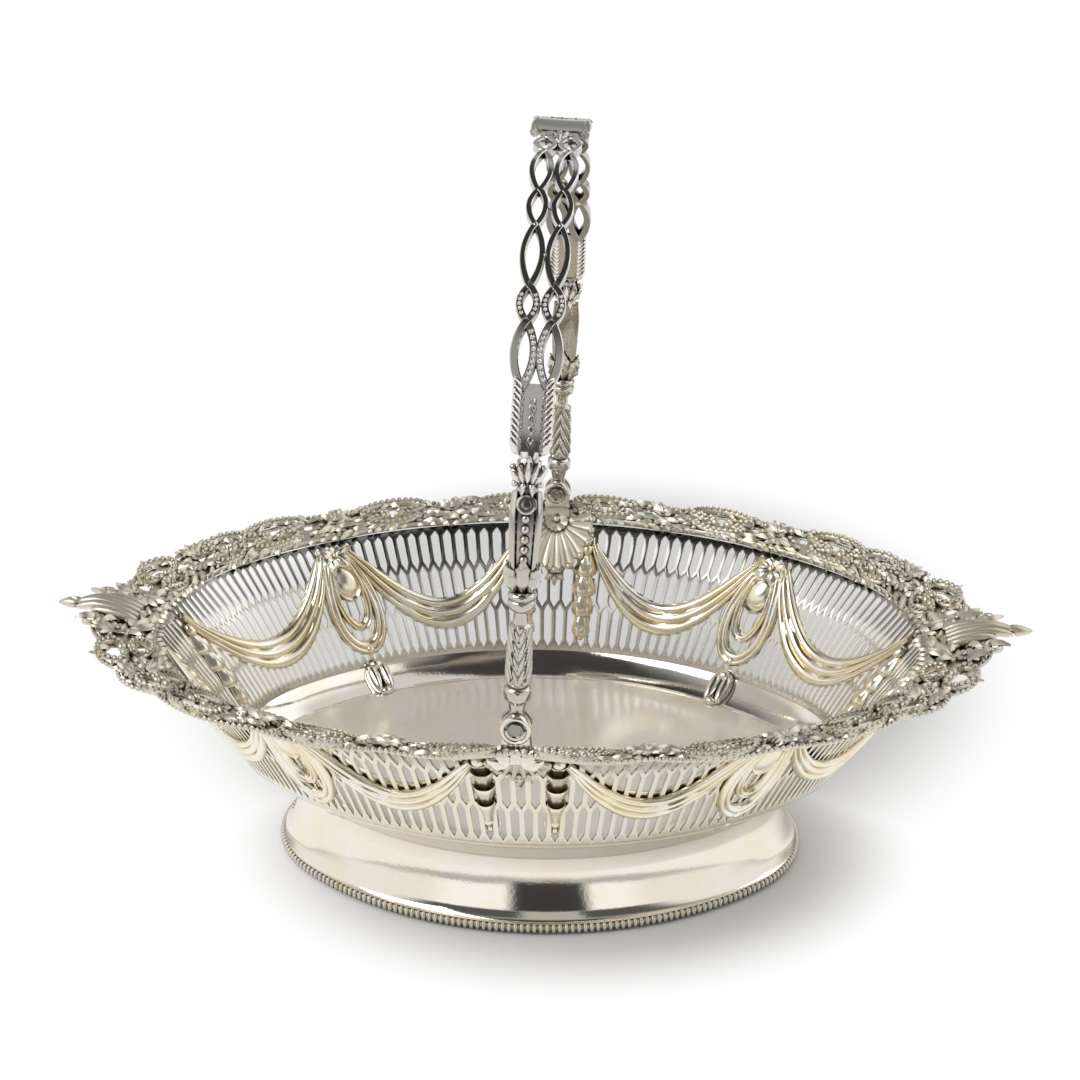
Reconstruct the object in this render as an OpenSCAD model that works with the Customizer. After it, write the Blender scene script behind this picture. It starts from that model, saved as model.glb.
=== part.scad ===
// Oval silver cake basket: pierced flaring wall on a plain oval foot, drapery swags,
// a cast openwork border and a swing handle on two rivet hinges.
// Millimetres, X along the basket, Y across it, Z up, origin under the middle of the foot.

/* [Wall] */
// Distance of the arc centres of the wall's oval from the middle
wall_centre = 62.4277; // [56:0.0001:68]
// Radius of the wall's long sides at its lower edge, inside
wall_side_r = 143.9; // [132:0.1:155]
// Height of the wall's lower edge
wall_z = 43.3; // [41:0.1:46]
// Height from the wall's lower edge to its top
wall_rise = 44.7; // [40:0.1:50]
// How far the wall leans out from its lower edge to its top
wall_flare = 16.2; // [12:0.1:20]
// Thickness of the wall's sheet
wall_t = 1.2; // [0.8:0.1:1.6]

/* [Piercing] */
// Distance from one slot to the next, half way up the wall
slot_pitch = 5.75; // [5:0.05:8]
// Width of the bar left between two slots
slot_bar = 1.9; // [1.5:0.1:2.5]
// Length of a slot's pointed end
slot_tip = 2.6; // [1.5:0.1:3.5]
// Plain edge left below and above the slots
slot_margin = 1.5; // [1:0.1:3]
// Rows of slots
slot_rows = 3; // [2:1:4]

/* [Floor] */
// Height of the floor's upper face
floor_z = 36; // [34:0.1:38]
// Thickness of the floor's sheet
floor_t = 1; // [0.8:0.1:2]
// Width of the round corner between floor and wall
corner_run = 11.5; // [8:0.1:14]

/* [Foot] */
// Distance of the arc centres of the foot's oval from the middle
foot_centre = 49.8552; // [45:0.0001:55]
// Radius of the foot's long sides over its bead ring
foot_side_r = 125.455; // [115:0.005:132]
// Thickness of the foot's sheet
foot_t = 1.2; // [0.8:0.1:2]
// How far the foot's waist lies in from the bead ring
foot_waist = 8; // [6:0.1:10]
// Height of the foot's curved part
foot_curve_h = 18; // [14:0.1:22]
// Diameter of the bead ring under the foot
bead_d = 4.4; // [3:0.1:6]

/* [Border] */
// Width of the border at the sides, before its lobes
border_side_w = 18; // [15:0.1:20]
// Extra width of the border at the ends
border_end_extra = 20; // [15:0.1:25]
// Height of the border's outer edge
border_z = 98.5; // [96:0.1:101]
// Thickness of the border's casting
border_t = 2; // [1.6:0.1:3]
// Depth of the lobes along the border's edge
lobe_depth = 3; // [1.5:0.1:5]
// Lobes in each quarter of the border
lobe_count = 6; // [3:3:9]
// How far the border reaches in over the wall's top
border_lip = 1; // [0.5:0.1:1.5]
// Radius of an opening under a lobe, as a share of the border's width
pierce_share = 0.17; // [0.1:0.01:0.2]

/* [End shells] */
// Overall half length of the basket, to the tips of the end shells
tip_half_x = 190; // [184:0.5:196]
// Length of an end shell
shell_len = 32; // [26:0.5:38]
// Least length of an end shell that rests on the border
shell_seat = 6; // [4:0.5:10]
// Half of the angle over which a shell's ribs fan out
shell_fan = 38; // [25:1:45]
// Ribs on a shell
shell_ribs = 7; // [5:2:11]
// Thickness of a shell at its tip
shell_tip_t = 2.4; // [1.5:0.1:3.5]
// Height of a shell's crown over the border
shell_crown = 3.2; // [2.2:0.1:4.5]

/* [Drapery] */
// Height at which the swags hang from the wall
swag_z = 82.5; // [78:0.1:86]
// How far a swag sags at its middle
swag_sag = 26; // [20:0.5:32]
// Depth of a swag at its middle
swag_depth = 10; // [6:0.1:13]
// Depth of a swag at its ends
swag_end = 3; // [2:0.1:4]
// How far the drapery stands out from the wall
swag_relief = 2; // [1.2:0.1:3]
// Place of the medallions round the oval, from its long axis
medallion_angle = 57; // [52:0.5:62]
// Half width of a medallion's looped drapery
medallion_half_w = 10; // [7:0.1:12]
// Half height of a medallion's looped drapery
medallion_half_h = 17; // [13:0.1:18]
// Width of the drapery band around a medallion
medallion_band = 3.4; // [2:0.1:4.5]
// Half width of a medallion's oval boss
boss_half_w = 4.6; // [3:0.1:5]
// Half height of a medallion's oval boss
boss_half_h = 7.4; // [5:0.1:9]
// How far a medallion's oval boss stands out from the wall
boss_relief = 2.8; // [1.8:0.1:4]
// Distance of a tassel from the middle of its side or end
tassel_off = 12; // [11:0.1:13]
// Length of a tassel
tassel_len = 28; // [22:0.5:29]
// Half width of a tassel's widest husk
tassel_half_w = 3.8; // [2.5:0.1:4.2]
// Length of the husk drop under a medallion
drop_len = 12.5; // [9:0.1:14]
// Radius of the husk drop
drop_r = 2.8; // [2:0.1:3.4]
// Outer radius of the fan shell below a hinge
fan_r = 14; // [13:0.5:15]
// Petals of the fan shell
fan_petals = 11; // [7:2:15]

/* [Hinges] */
// Distance of the handle's legs from the middle of the basket
hinge_y = 109; // [107:0.1:111]
// Height of the hinge axis
hinge_z = 105.75; // [104:0.05:108]
// Radius of the hinge pin's shank
pin_r = 1.6; // [1.2:0.05:2]
// Radius of a pin's head
pin_head_r = 3.1; // [2.4:0.1:4]
// Height of a pin's head
pin_head_h = 0.8; // [0.5:0.1:1.2]
// Radius of a bracket's ear
ear_r = 5.6; // [4.8:0.1:6]
// Thickness of a bracket's ear
ear_t = 1.8; // [1.2:0.1:2.4]
// Length of a bracket's base along the border
bracket_len = 9; // [7:0.5:12]
// Least width of a bracket's base that rests on the border
bracket_seat = 5; // [4:0.1:7]
// How far the foot of a bracket's ear is let into its base
ear_sunk = 0.5; // [0.3:0.1:1]

/* [Handle] */
// Angle at which the handle stands, from upright
handle_lean = 2.5; // [-20:0.5:20]
// Height of the handle's top above the hinge axis
handle_h = 184; // [170:0.1:200]
// Length of the straight lower leg
leg_h = 51; // [48:0.5:60]
// Radius of the handle's top arc
top_r = 80; // [72:0.5:90]
// Thickness of the leg's hinge tongue
tongue_t = 3.6; // [2.5:0.1:4.5]
// Height of the leg's collar neck over the bracket's ears
tongue_rise = 1.2; // [0.8:0.1:2]
// Radius of the leg's hinge eye
eye_r = 5.1; // [4:0.1:5.4]
// Radius of the leg's collar
collar_r = 5.2; // [4:0.1:6]
// Radius of the leg's baluster
baluster_r = 4.5; // [3.6:0.1:5]
// Radius of the leg's narrow necks
neck_r = 3; // [2.4:0.1:3.4]
// Width of the beaded stem
stem_w = 10; // [8:0.1:12]
// Thickness of the beaded stem
stem_t = 3.4; // [2.4:0.1:4]
// Radius of a bead on the stem
stem_bead_r = 1.8; // [1.2:0.1:2.2]
// Beads on a stem
stem_beads = 7; // [5:1:8]
// Width of the bud above the stem
bud_w = 13; // [10:0.1:15]
// Thickness of the bud
bud_t = 5; // [3.6:0.1:6]
// Width of the leaf panel
panel_w = 16.5; // [13:0.1:19]
// Thickness of the leaf panel and the lattice
strap_t = 2.4; // [1.8:0.1:3]
// How much thicker the leaf panel is along its middle
panel_rib = 1; // [0.6:0.1:1.6]
// Half width of a large loop of the lattice
loop_half_w = 4.4; // [3.6:0.1:5]
// Half width of a small loop of the lattice
loop_small_w = 3.4; // [2.8:0.1:4]
// Width of a loop's wire
loop_wire = 1.4; // [1:0.1:1.8]
// Overall width of the top tablet
tablet_w = 22; // [18:0.1:26]
// Length of the top tablet along the arch
tablet_len = 32; // [24:0.5:38]
// Radius of the tablet's rolled ends
roll_r = 1.9; // [1.4:0.1:2.4]

/* [Fits] */
// Gap at a soldered seam
seam = 0.1; // [0.05:0.01:0.2]
// Radial clearance of the handle's eye on its pin
run_fit = 0.05; // [0.02:0.01:0.1]
// Radial clearance of a pin in the bracket's ears
set_fit = 0.02; // [0.01:0.01:0.05]
// Clearance on each side of the tongue between the ears
side_play = 0.35; // [0.2:0.05:0.6]

/* [Hidden] */
$fn = 128;
small_fn = 40;
silver = "gainsboro";
gilt = "#d9cda6";
oxidised = "#b9b4a6";

// End radius of a four-centre oval whose arcs meet at 45 degrees
function oval_end_r(centre, side_r) = side_r - centre * sqrt(2);
// Four-centre arch: side radius and the angle where side and end arcs meet
function side_radius(a, b, r) = ((a - r) * (a - r) + b * b - r * r) / (2 * (b - r));
function meet_angle(a, b, r) = atan2(side_radius(a, b, r) - b, a - r);
function arc_len(radius, angle) = radius * angle * PI / 180;
function arc_angle(radius, length) = length / radius * 180 / PI;

// Both ovals have their side and end arcs meeting at this angle
wall_meet = 45;
wall_end_r = oval_end_r(wall_centre, wall_side_r);
wall_half_x = wall_centre + wall_end_r;
wall_half_y = wall_side_r - wall_centre;
wall_top_z = wall_z + wall_rise;
wall_lean = atan2(wall_flare, wall_rise);
wall_slope = norm([wall_flare, wall_rise]);
// The sheet's thickness measured level instead of square to the slope
wall_run_t = wall_t / cos(wall_lean);
wall_mid_flare = wall_flare / 2;
// Height that ornament stays clear of the wall's lower and upper edges
edge_clear = 0.4;

function wall_flare_at(z) = (z - wall_z) * wall_flare / wall_rise;
function on_side(angle) = angle >= wall_meet && angle <= 180 - wall_meet;
function arc_centre(angle) =
    on_side(angle) ? [0, wall_half_y - wall_side_r] : [wall_half_x - wall_end_r, 0];
function arc_r(angle) = on_side(angle) ? wall_side_r : wall_end_r;
// Point of the wall's oval at a normal angle, moved out by a level offset
function oval_point(angle, out) = arc_centre(angle) + (arc_r(angle) + out) * [cos(angle), sin(angle)];

// Sweeps a profile, drawn as offset against height, round a four-centre oval
module oval_sweep(centre, side_r) {
    for (turn = [0, 180]) rotate(turn) {
        translate([centre, 0, 0]) rotate_extrude(start = -wall_meet, angle = 2 * wall_meet)
            translate([oval_end_r(centre, side_r), 0]) children();
        translate([0, -centre, 0]) rotate_extrude(start = wall_meet, angle = 180 - 2 * wall_meet)
            translate([side_r, 0]) children();
    }
}

// Flat oval plate, its edge at an offset from the oval
module oval_plate(centre, side_r, out, z, t) {
    for (turn = [0, 180]) rotate(turn) {
        translate([centre, 0, z]) rotate_extrude(start = -wall_meet, angle = 2 * wall_meet)
            square([oval_end_r(centre, side_r) + out, t]);
        translate([0, -centre, z]) rotate_extrude(start = wall_meet, angle = 180 - 2 * wall_meet)
            square([side_r + out, t]);
    }
}

// Moves a piece made for the back right quarter to any quarter
module quarter(x, y) {
    mirror([x < 0 ? 1 : 0, 0, 0]) mirror([0, y < 0 ? 1 : 0, 0]) children();
}

module floor_dish() {
    steps = 8;
    rise = wall_z - seam - floor_z;
    function corner(q) = [-corner_run * (1 - sin(q)), floor_z + rise * (1 - cos(q))];
    curve = [for (i = [0 : steps]) corner(90 * i / steps)];
    outer = [for (i = [steps : -1 : 0]) let (q = 90 * i / steps)
        corner(q) + [wall_run_t * sin(q), -floor_t * cos(q)]];
    color(silver) {
        oval_plate(wall_centre, wall_side_r, -corner_run, floor_z - floor_t, floor_t);
        oval_sweep(wall_centre, wall_side_r) polygon(concat(curve, outer));
    }
}

foot_top_z = floor_z - floor_t - seam;
bead_sides = 12;
// The bead ring is a twelve-sided rod that stands on one of its flats
bead_apothem = bead_d / 2 * cos(180 / bead_sides);
foot_base_z = 2 * bead_apothem;

module foot_collet() {
    steps = 9;
    // Concave sweep from the bead ring in to the waist, then upright with a low step below the floor
    step_out = foot_t / 2;
    step_low = 6 * foot_t;
    step_high = 5 * foot_t;
    sweep = [for (i = [0 : steps]) let (q = 90 * i / steps)
        [-bead_d / 2 - (foot_waist - bead_d / 2) * sin(q),
            foot_base_z + seam + foot_curve_h * (1 - cos(q))]];
    neck = [[-foot_waist, foot_top_z - step_low], [-foot_waist + step_out, foot_top_z - step_high],
        [-foot_waist + step_out, foot_top_z]];
    outline = concat(sweep, neck);
    inside = [for (i = [len(outline) - 1 : -1 : 0]) outline[i] - [foot_t, 0]];
    color(silver) oval_sweep(foot_centre, foot_side_r) polygon(concat(outline, inside));
}

module foot_bead_ring() {
    color(oxidised) oval_sweep(foot_centre, foot_side_r)
        translate([-bead_apothem, bead_apothem]) rotate(180 / bead_sides)
            circle(d = bead_d, $fn = bead_sides);
}

// Cross-section of a layer of the wall between two distances from its inner face
module wall_section(near, far) {
    low = wall_z + edge_clear;
    high = wall_top_z - edge_clear;
    function level(n, z) = [n / cos(wall_lean) + wall_flare_at(z), z];
    polygon([level(near, low), level(far, low), level(far, high), level(near, high)]);
}

module wall_sheet_section() {
    top = wall_top_z - seam;
    polygon([[0, wall_z], [wall_run_t, wall_z], [wall_flare + wall_run_t, top], [wall_flare, top]]);
}

module side_arc(from, to) {
    translate([0, wall_half_y - wall_side_r, 0]) rotate_extrude(start = from, angle = to - from)
        translate([wall_side_r, 0]) children();
}

module end_arc(from, to) {
    translate([wall_half_x - wall_end_r, 0, 0]) rotate_extrude(start = from, angle = to - from)
        translate([wall_end_r, 0]) children();
}

// Frame on the wall's inner face: x along it to the left, y up the slope, z outwards
module on_wall(angle, z) {
    centre = arc_centre(angle);
    translate([centre.x, centre.y, z]) rotate(angle) translate([arc_r(angle) + wall_flare_at(z), 0, 0])
        rotate([0, wall_lean, 0]) rotate([90, 0, 90]) children();
}

// Angles of the slots over one arc of the wall, for a row that starts on a slot or on a bar
function arc_slots(from, to, radius, shift) =
    let (n = max(2, round(arc_len(radius + wall_mid_flare, to - from) / slot_pitch)))
    [for (i = [0 : n]) let (q = from + (i + shift) * (to - from) / n)
        if (q < to - 0.001 || shift == 0) q];
function arc_step(from, to, radius) =
    (to - from) / max(2, round(arc_len(radius + wall_mid_flare, to - from) / slot_pitch));

row_pitch = (wall_slope - 2 * slot_margin - slot_tip + slot_bar) / slot_rows;
slot_len = row_pitch + slot_tip - slot_bar;
cut_depth = 8;

// One slot, pointed at both ends, through the wall
module slot(angle, row, step) {
    up = slot_margin + slot_len / 2 + row * row_pitch;
    z = wall_z + up * cos(wall_lean);
    half = (arc_len(arc_r(angle) + wall_flare_at(z), step) - slot_bar) / 2;
    shoulder = slot_len / 2 - slot_tip;
    on_wall(angle, z) linear_extrude(cut_depth, center = true)
        polygon([[0, -slot_len / 2], [half, -shoulder], [half, shoulder],
            [0, slot_len / 2], [-half, shoulder], [-half, -shoulder]]);
}

// Slots of one arc whose centres keep a bar's distance from the seams at both ends of a panel
module slots(from, to, radius, seam_from, seam_to) {
    step = arc_step(from, to, radius);
    clear = step * 0.45;
    for (row = [0 : slot_rows - 1])
        for (q = arc_slots(from, to, radius, row % 2 == 0 ? 0.5 : 0))
            if (q > seam_from + clear && q < seam_to - clear) slot(q, row, step);
}

seam_angle = arc_angle(wall_side_r, seam / 2);

module wall_side(x, y) {
    color(silver) quarter(x, y) difference() {
        side_arc(medallion_angle + seam_angle, 90 - seam_angle) wall_sheet_section();
        slots(wall_meet, 90, wall_side_r, medallion_angle, 90);
    }
}

module wall_end(x, y) {
    color(silver) quarter(x, y) difference() {
        union() {
            side_arc(wall_meet, medallion_angle - seam_angle) wall_sheet_section();
            end_arc(seam_angle, wall_meet) wall_sheet_section();
        }
        slots(wall_meet, 90, wall_side_r, 0, medallion_angle);
        slots(0, wall_meet - 0.01, wall_end_r, 0, 90);
    }
}

// Width of the border at a normal angle, with its lobes
function border_width(angle) =
    border_side_w + border_end_extra * abs(cos(angle)) + lobe_depth * abs(sin(2 * lobe_count * angle));
// Height of the border's upper face at a share of its width
function border_top(share) = wall_top_z + border_t + (border_z - wall_top_z - border_t) * share;
function border_out(angle, share) = wall_flare - border_lip + share * (border_width(angle) + border_lip);
function border_point(angle, share, z) = let (p = oval_point(angle, border_out(angle, share))) [p.x, p.y, z];

border_steps_per_lobe = 6;

module border_plate(from, to) {
    n = round((to - from) * lobe_count / 90) * border_steps_per_lobe;
    points = [for (i = [0 : n]) let (q = from + (to - from) * i / n) each [
        border_point(q, 0, wall_top_z), border_point(q, 1, border_z - border_t),
        border_point(q, 1, border_z), border_point(q, 0, wall_top_z + border_t)]];
    skin = [for (i = [0 : n - 1]) for (k = [0 : 3]) let (p = 4 * i + k, q = 4 * i + (k + 1) % 4)
        each [[p, q, q + 4], [p, q + 4, p + 4]]];
    last = 4 * n;
    first_cap = [[0, 3, 2], [0, 2, 1]];
    last_cap = [[last, last + 1, last + 2], [last, last + 2, last + 3]];
    polyhedron(points, concat(first_cap, skin, last_cap), convexity = 4);
}

// Openings under each lobe, and smaller ones nearer the wall between the lobes
module border_openings(from, to) {
    lobe = 90 / lobe_count;
    outer_share = 0.66;
    inner_share = 0.36;
    inner_size = 0.8 * pierce_share;
    for (q = [from + lobe / 2 : lobe : to]) pierce(q, outer_share, pierce_share);
    for (q = [from + lobe : lobe : to - lobe / 2]) pierce(q, inner_share, inner_size);
}

module pierce(angle, share, size) {
    translate(border_point(angle, share, wall_top_z - border_t))
        cylinder(r = border_width(angle) * size, h = border_z - wall_top_z + 3 * border_t,
            $fn = small_fn);
}

border_split = 30;
border_gap = arc_angle(wall_side_r, seam / 2);

module border_side(x, y) {
    color(oxidised) quarter(x, y) difference() {
        border_plate(border_split + border_gap, 90 - border_gap);
        border_openings(border_split, 90);
    }
}

module border_end(x) {
    color(oxidised) quarter(x, 1) difference() {
        border_plate(-border_split + border_gap, border_split - border_gap);
        border_openings(-border_split, border_split);
    }
}

border_end_x = wall_half_x + wall_flare + border_width(0);
border_end_slope = (border_z - wall_top_z - border_t) / (border_width(0) + border_lip);

// Fan-shaped shell lying on the end of the border and reaching out past it
module end_shell(x) {
    root = min(tip_half_x - shell_len, border_end_x - shell_seat);
    length = tip_half_x - root;
    per_rib = 6;
    n = shell_ribs * per_rib;
    scallop = 0.06;
    shorter = 0.22;
    // Scalloped edge; the middle rib is the longest
    edge = [for (i = [0 : n]) let (q = -shell_fan + 2 * shell_fan * i / n,
        wave = 1 - scallop + scallop * abs(sin(180 * i / per_rib)),
        r = length * wave * (1 - shorter * abs(q) / shell_fan))
        [root + r * cos(q), r * sin(q)]];
    under_root = border_z + (root - border_end_x) * border_end_slope + seam;
    under_edge = border_z + seam;
    profile = [[root, under_root], [border_end_x, under_edge], [tip_half_x, under_edge],
        [tip_half_x, under_edge + shell_tip_t], [border_end_x, under_edge + shell_crown],
        [root, under_root + shell_tip_t]];
    color(oxidised) quarter(x, 1) intersection() {
        translate([0, 0, wall_top_z]) linear_extrude(border_z - wall_top_z + 4 * shell_crown)
            polygon(concat([[root, 0]], edge));
        rotate([90, 0, 0]) linear_extrude(2 * length, center = true) polygon(profile);
    }
}

// Keeps what children share with the wall, as one casting outside and one inside
module applied(relief) {
    for (layer = [[wall_t + seam, wall_t + seam + relief], [-seam - relief, -seam]])
        intersection() {
            children();
            union() {
                side_arc(wall_meet, 180 - wall_meet) wall_section(layer[0], layer[1]);
                end_arc(0, wall_meet) wall_section(layer[0], layer[1]);
            }
        }
}

function tassel_side_angle() = 90 - arc_angle(wall_side_r + wall_mid_flare, tassel_off);
function tassel_end_angle() = arc_angle(wall_end_r + wall_mid_flare, tassel_off);

// Crescent of cloth between two hanging points, drawn from its top
function crescent(half, sag, depth, end) =
    let (n = 10, line = [for (i = [-n : n]) i / n],
        middle = [for (t = line) sag * (t * t - 1)],
        fall = [for (t = line) (end + (depth - end) * (1 - t * t)) / 2])
    concat([for (i = [0 : 2 * n]) [half * line[i], middle[i] + fall[i]]],
        [for (i = [2 * n : -1 : 0]) [half * line[i], middle[i] - fall[i]]]);

// Cloth hung between two places on the wall
module swag(from, to) {
    a = oval_point(from, wall_flare_at(swag_z));
    b = oval_point(to, wall_flare_at(swag_z));
    mid = (a + b) / 2;
    facing = atan2(a.x - b.x, b.y - a.y);
    half = norm(b - a) / 2;
    reach = 60;
    applied(swag_relief)
        translate([mid.x, mid.y, swag_z]) rotate(facing) rotate([0, wall_lean, 0]) rotate([90, 0, 90])
            linear_extrude(reach, center = true) polygon(crescent(half, swag_sag, swag_depth, swag_end));
}

module swag_side(x, y) {
    side_step = arc_angle(wall_side_r + wall_flare, medallion_half_w + seam);
    tassel_step = arc_angle(wall_side_r + wall_flare, tassel_half_w + seam);
    color(gilt) quarter(x, y) swag(medallion_angle + side_step, tassel_side_angle() - tassel_step);
}

module swag_end_part(x, y) {
    side_step = arc_angle(wall_side_r + wall_flare, medallion_half_w + seam);
    tassel_step = arc_angle(wall_end_r + wall_flare, tassel_half_w + seam);
    color(gilt) quarter(x, y) swag(tassel_end_angle() + tassel_step, medallion_angle - side_step);
}

function oval_outline(half_w, half_h) =
    let (n = 28) [for (i = [0 : n - 1]) [half_w * cos(360 * i / n), half_h * sin(360 * i / n)]];

medallion_up = 1;
medallion_z = wall_z + wall_rise / 2 + medallion_up;

module medallion(x, y) {
    color(gilt) quarter(x, y) {
        applied(swag_relief) on_wall(medallion_angle, medallion_z) difference() {
            linear_extrude(cut_depth * 2, center = true)
                polygon(oval_outline(medallion_half_w, medallion_half_h));
            linear_extrude(cut_depth * 3, center = true) polygon(oval_outline(
                medallion_half_w - medallion_band, medallion_half_h - medallion_band));
        }
        applied(boss_relief) on_wall(medallion_angle, medallion_z)
            linear_extrude(cut_depth * 2, center = true) polygon(oval_outline(boss_half_w, boss_half_h));
    }
}

// Ribbed husk lying on the round corner of the floor, below a medallion
module drop(x, y) {
    rise = wall_z - floor_z;
    tilt = atan2(rise, corner_run);
    centre = arc_centre(medallion_angle);
    top_r = drop_r * 0.7;
    lift = top_r + 2 * seam;
    profile = [[0, 0], [top_r, 0], [drop_r, drop_len * 0.3], [drop_r * 0.8, drop_len * 0.7],
        [drop_r * 0.4, drop_len], [0, drop_len]];
    color(silver) quarter(x, y) translate([centre.x, centre.y, wall_z])
        rotate(medallion_angle) translate([arc_r(medallion_angle), 0, 0])
            rotate([0, -90 - tilt, 0]) translate([lift, 0, (norm([rise, corner_run]) - drop_len) / 2])
                rotate_extrude($fn = small_fn) polygon(profile);
}

// The fan shell's middle; the tassels at the sides hang just below its edge
fan_z = wall_top_z - edge_clear - fan_r / 4;
tassel_gap = 0.5;
fan_fall = sqrt(fan_r * fan_r - pow(tassel_off - tassel_half_w, 2)) + tassel_gap;
tassel_side_z = fan_z - fan_fall * cos(wall_lean);

// Three husks, one below the other, under a knot
module tassel(angle, top_z) {
    husks = 3;
    husk = tassel_len / (husks + 0.6);
    knot = tassel_len - husks * husk;
    half = [for (i = [0 : husks - 1]) each [[tassel_half_w * 0.55, -knot - i * husk],
        [tassel_half_w * (1 - i * 0.12), -knot - (i + 0.8) * husk]]];
    top = [[tassel_half_w * 0.6, 0], [tassel_half_w * 0.75, -knot / 2]];
    edge = concat(top, half, [[0, -tassel_len]]);
    mirrored = [for (i = [len(edge) - 2 : -1 : 0]) [-edge[i].x, edge[i].y]];
    applied(swag_relief) on_wall(angle, top_z)
        linear_extrude(cut_depth * 2, center = true) polygon(concat(edge, mirrored));
}

module tassel_side(x, y) {
    color(gilt) quarter(x, y) tassel(tassel_side_angle(), tassel_side_z);
}

module tassel_end(x, y) {
    color(gilt) quarter(x, y) tassel(tassel_end_angle(), swag_z);
}

module hinge_fan(y) {
    per_petal = 6;
    n = fan_petals * per_petal;
    spread = 200;
    scallop = 0.16;
    edge = [for (i = [0 : n]) let (q = -90 - spread / 2 + spread * i / n,
        r = fan_r * (1 - scallop + scallop * abs(sin(180 * i / per_petal)))) [r * cos(q), r * sin(q)]];
    color(gilt) quarter(1, y) applied(swag_relief) on_wall(90, fan_z)
        linear_extrude(cut_depth * 2, center = true) polygon(edge);
}

ear_inner = tongue_t / 2 + side_play;
ear_outer = ear_inner + ear_t;
bracket_base_z = hinge_z - ear_r;

// Height of the border's upper face beside the hinge, at a distance from the middle of the basket
function border_seat(y) =
    let (start = wall_half_y + wall_flare - border_lip)
    border_top((y - start) / (border_width(90) + border_lip));

module hinge_bracket(y) {
    near = hinge_y - ear_outer;
    far = hinge_y + ear_outer;
    // The base reaches in far enough to rest on the border, and its overhang is flat underneath
    edge = wall_half_y + wall_flare + border_width(90);
    seat_from = min(near, edge - bracket_seat);
    seat_to = min(far, edge);
    under = border_seat(seat_to) + seam;
    overhang = far > edge ? [[far, under]] : [];
    base = concat([[seat_from, border_seat(seat_from) + seam], [seat_to, under]], overhang,
        [[far, bracket_base_z], [seat_from, bracket_base_z]]);
    foot_w = ear_r * 1.4;
    color(silver) quarter(1, y) difference() {
        union() {
            rotate([90, 0, 90]) linear_extrude(bracket_len, center = true) polygon(base);
            for (at = [near, hinge_y + ear_inner]) {
                translate([0, at, hinge_z]) rotate([-90, 0, 0])
                    cylinder(r = ear_r, h = ear_t, $fn = small_fn);
                translate([-foot_w / 2, at, bracket_base_z - ear_sunk]) cube([foot_w, ear_t, ear_r]);
            }
        }
        translate([0, near - 1, hinge_z]) rotate([-90, 0, 0])
            cylinder(r = pin_r + set_fit, h = 2 * ear_outer + 2, $fn = small_fn);
    }
}

module hinge_pin(y) {
    reach = ear_outer + set_fit;
    color(silver) quarter(1, y) translate([0, hinge_y, hinge_z]) rotate([-90, 0, 0]) {
        cylinder(r = pin_r, h = 2 * reach, center = true, $fn = small_fn);
        for (side = [0, 1]) mirror([0, 0, side]) translate([0, 0, reach])
            cylinder(r = pin_head_r, h = pin_head_h, $fn = small_fn);
    }
}

// Handle: two straight legs, a wide arc on each side and a tighter arc over the top
arch_h = handle_h - leg_h;
side_r = side_radius(arch_h, hinge_y, top_r);
side_centre = [hinge_y - side_r, leg_h];
top_centre = [0, handle_h - top_r];
side_end = 90 - meet_angle(arch_h, hinge_y, top_r);
stem_end = 14;
bud_end = 19;
panel_end = 28;
tablet_half = arc_angle(top_r, tablet_len / 2);
joint_gap = arc_angle(side_r, seam);

module handle_frame(y) {
    translate([0, 0, hinge_z]) rotate([0, handle_lean, 0]) quarter(1, y) children();
}

// Curved strap in the handle's plane, between two angles of an arc
module strap(centre, radius, from, to, w, t) {
    translate([0, centre.x, centre.y]) rotate([90, 0, 90])
        rotate_extrude(start = from, angle = to - from) translate([radius - t / 2, -w / 2]) square([t, w]);
}

// Frame on the strap's middle: x across it, z along it, y outwards
module on_strap(centre, radius, angle) {
    translate([0, centre.x, centre.y]) rotate([angle, 0, 0]) translate([0, radius, 0]) children();
}

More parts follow.
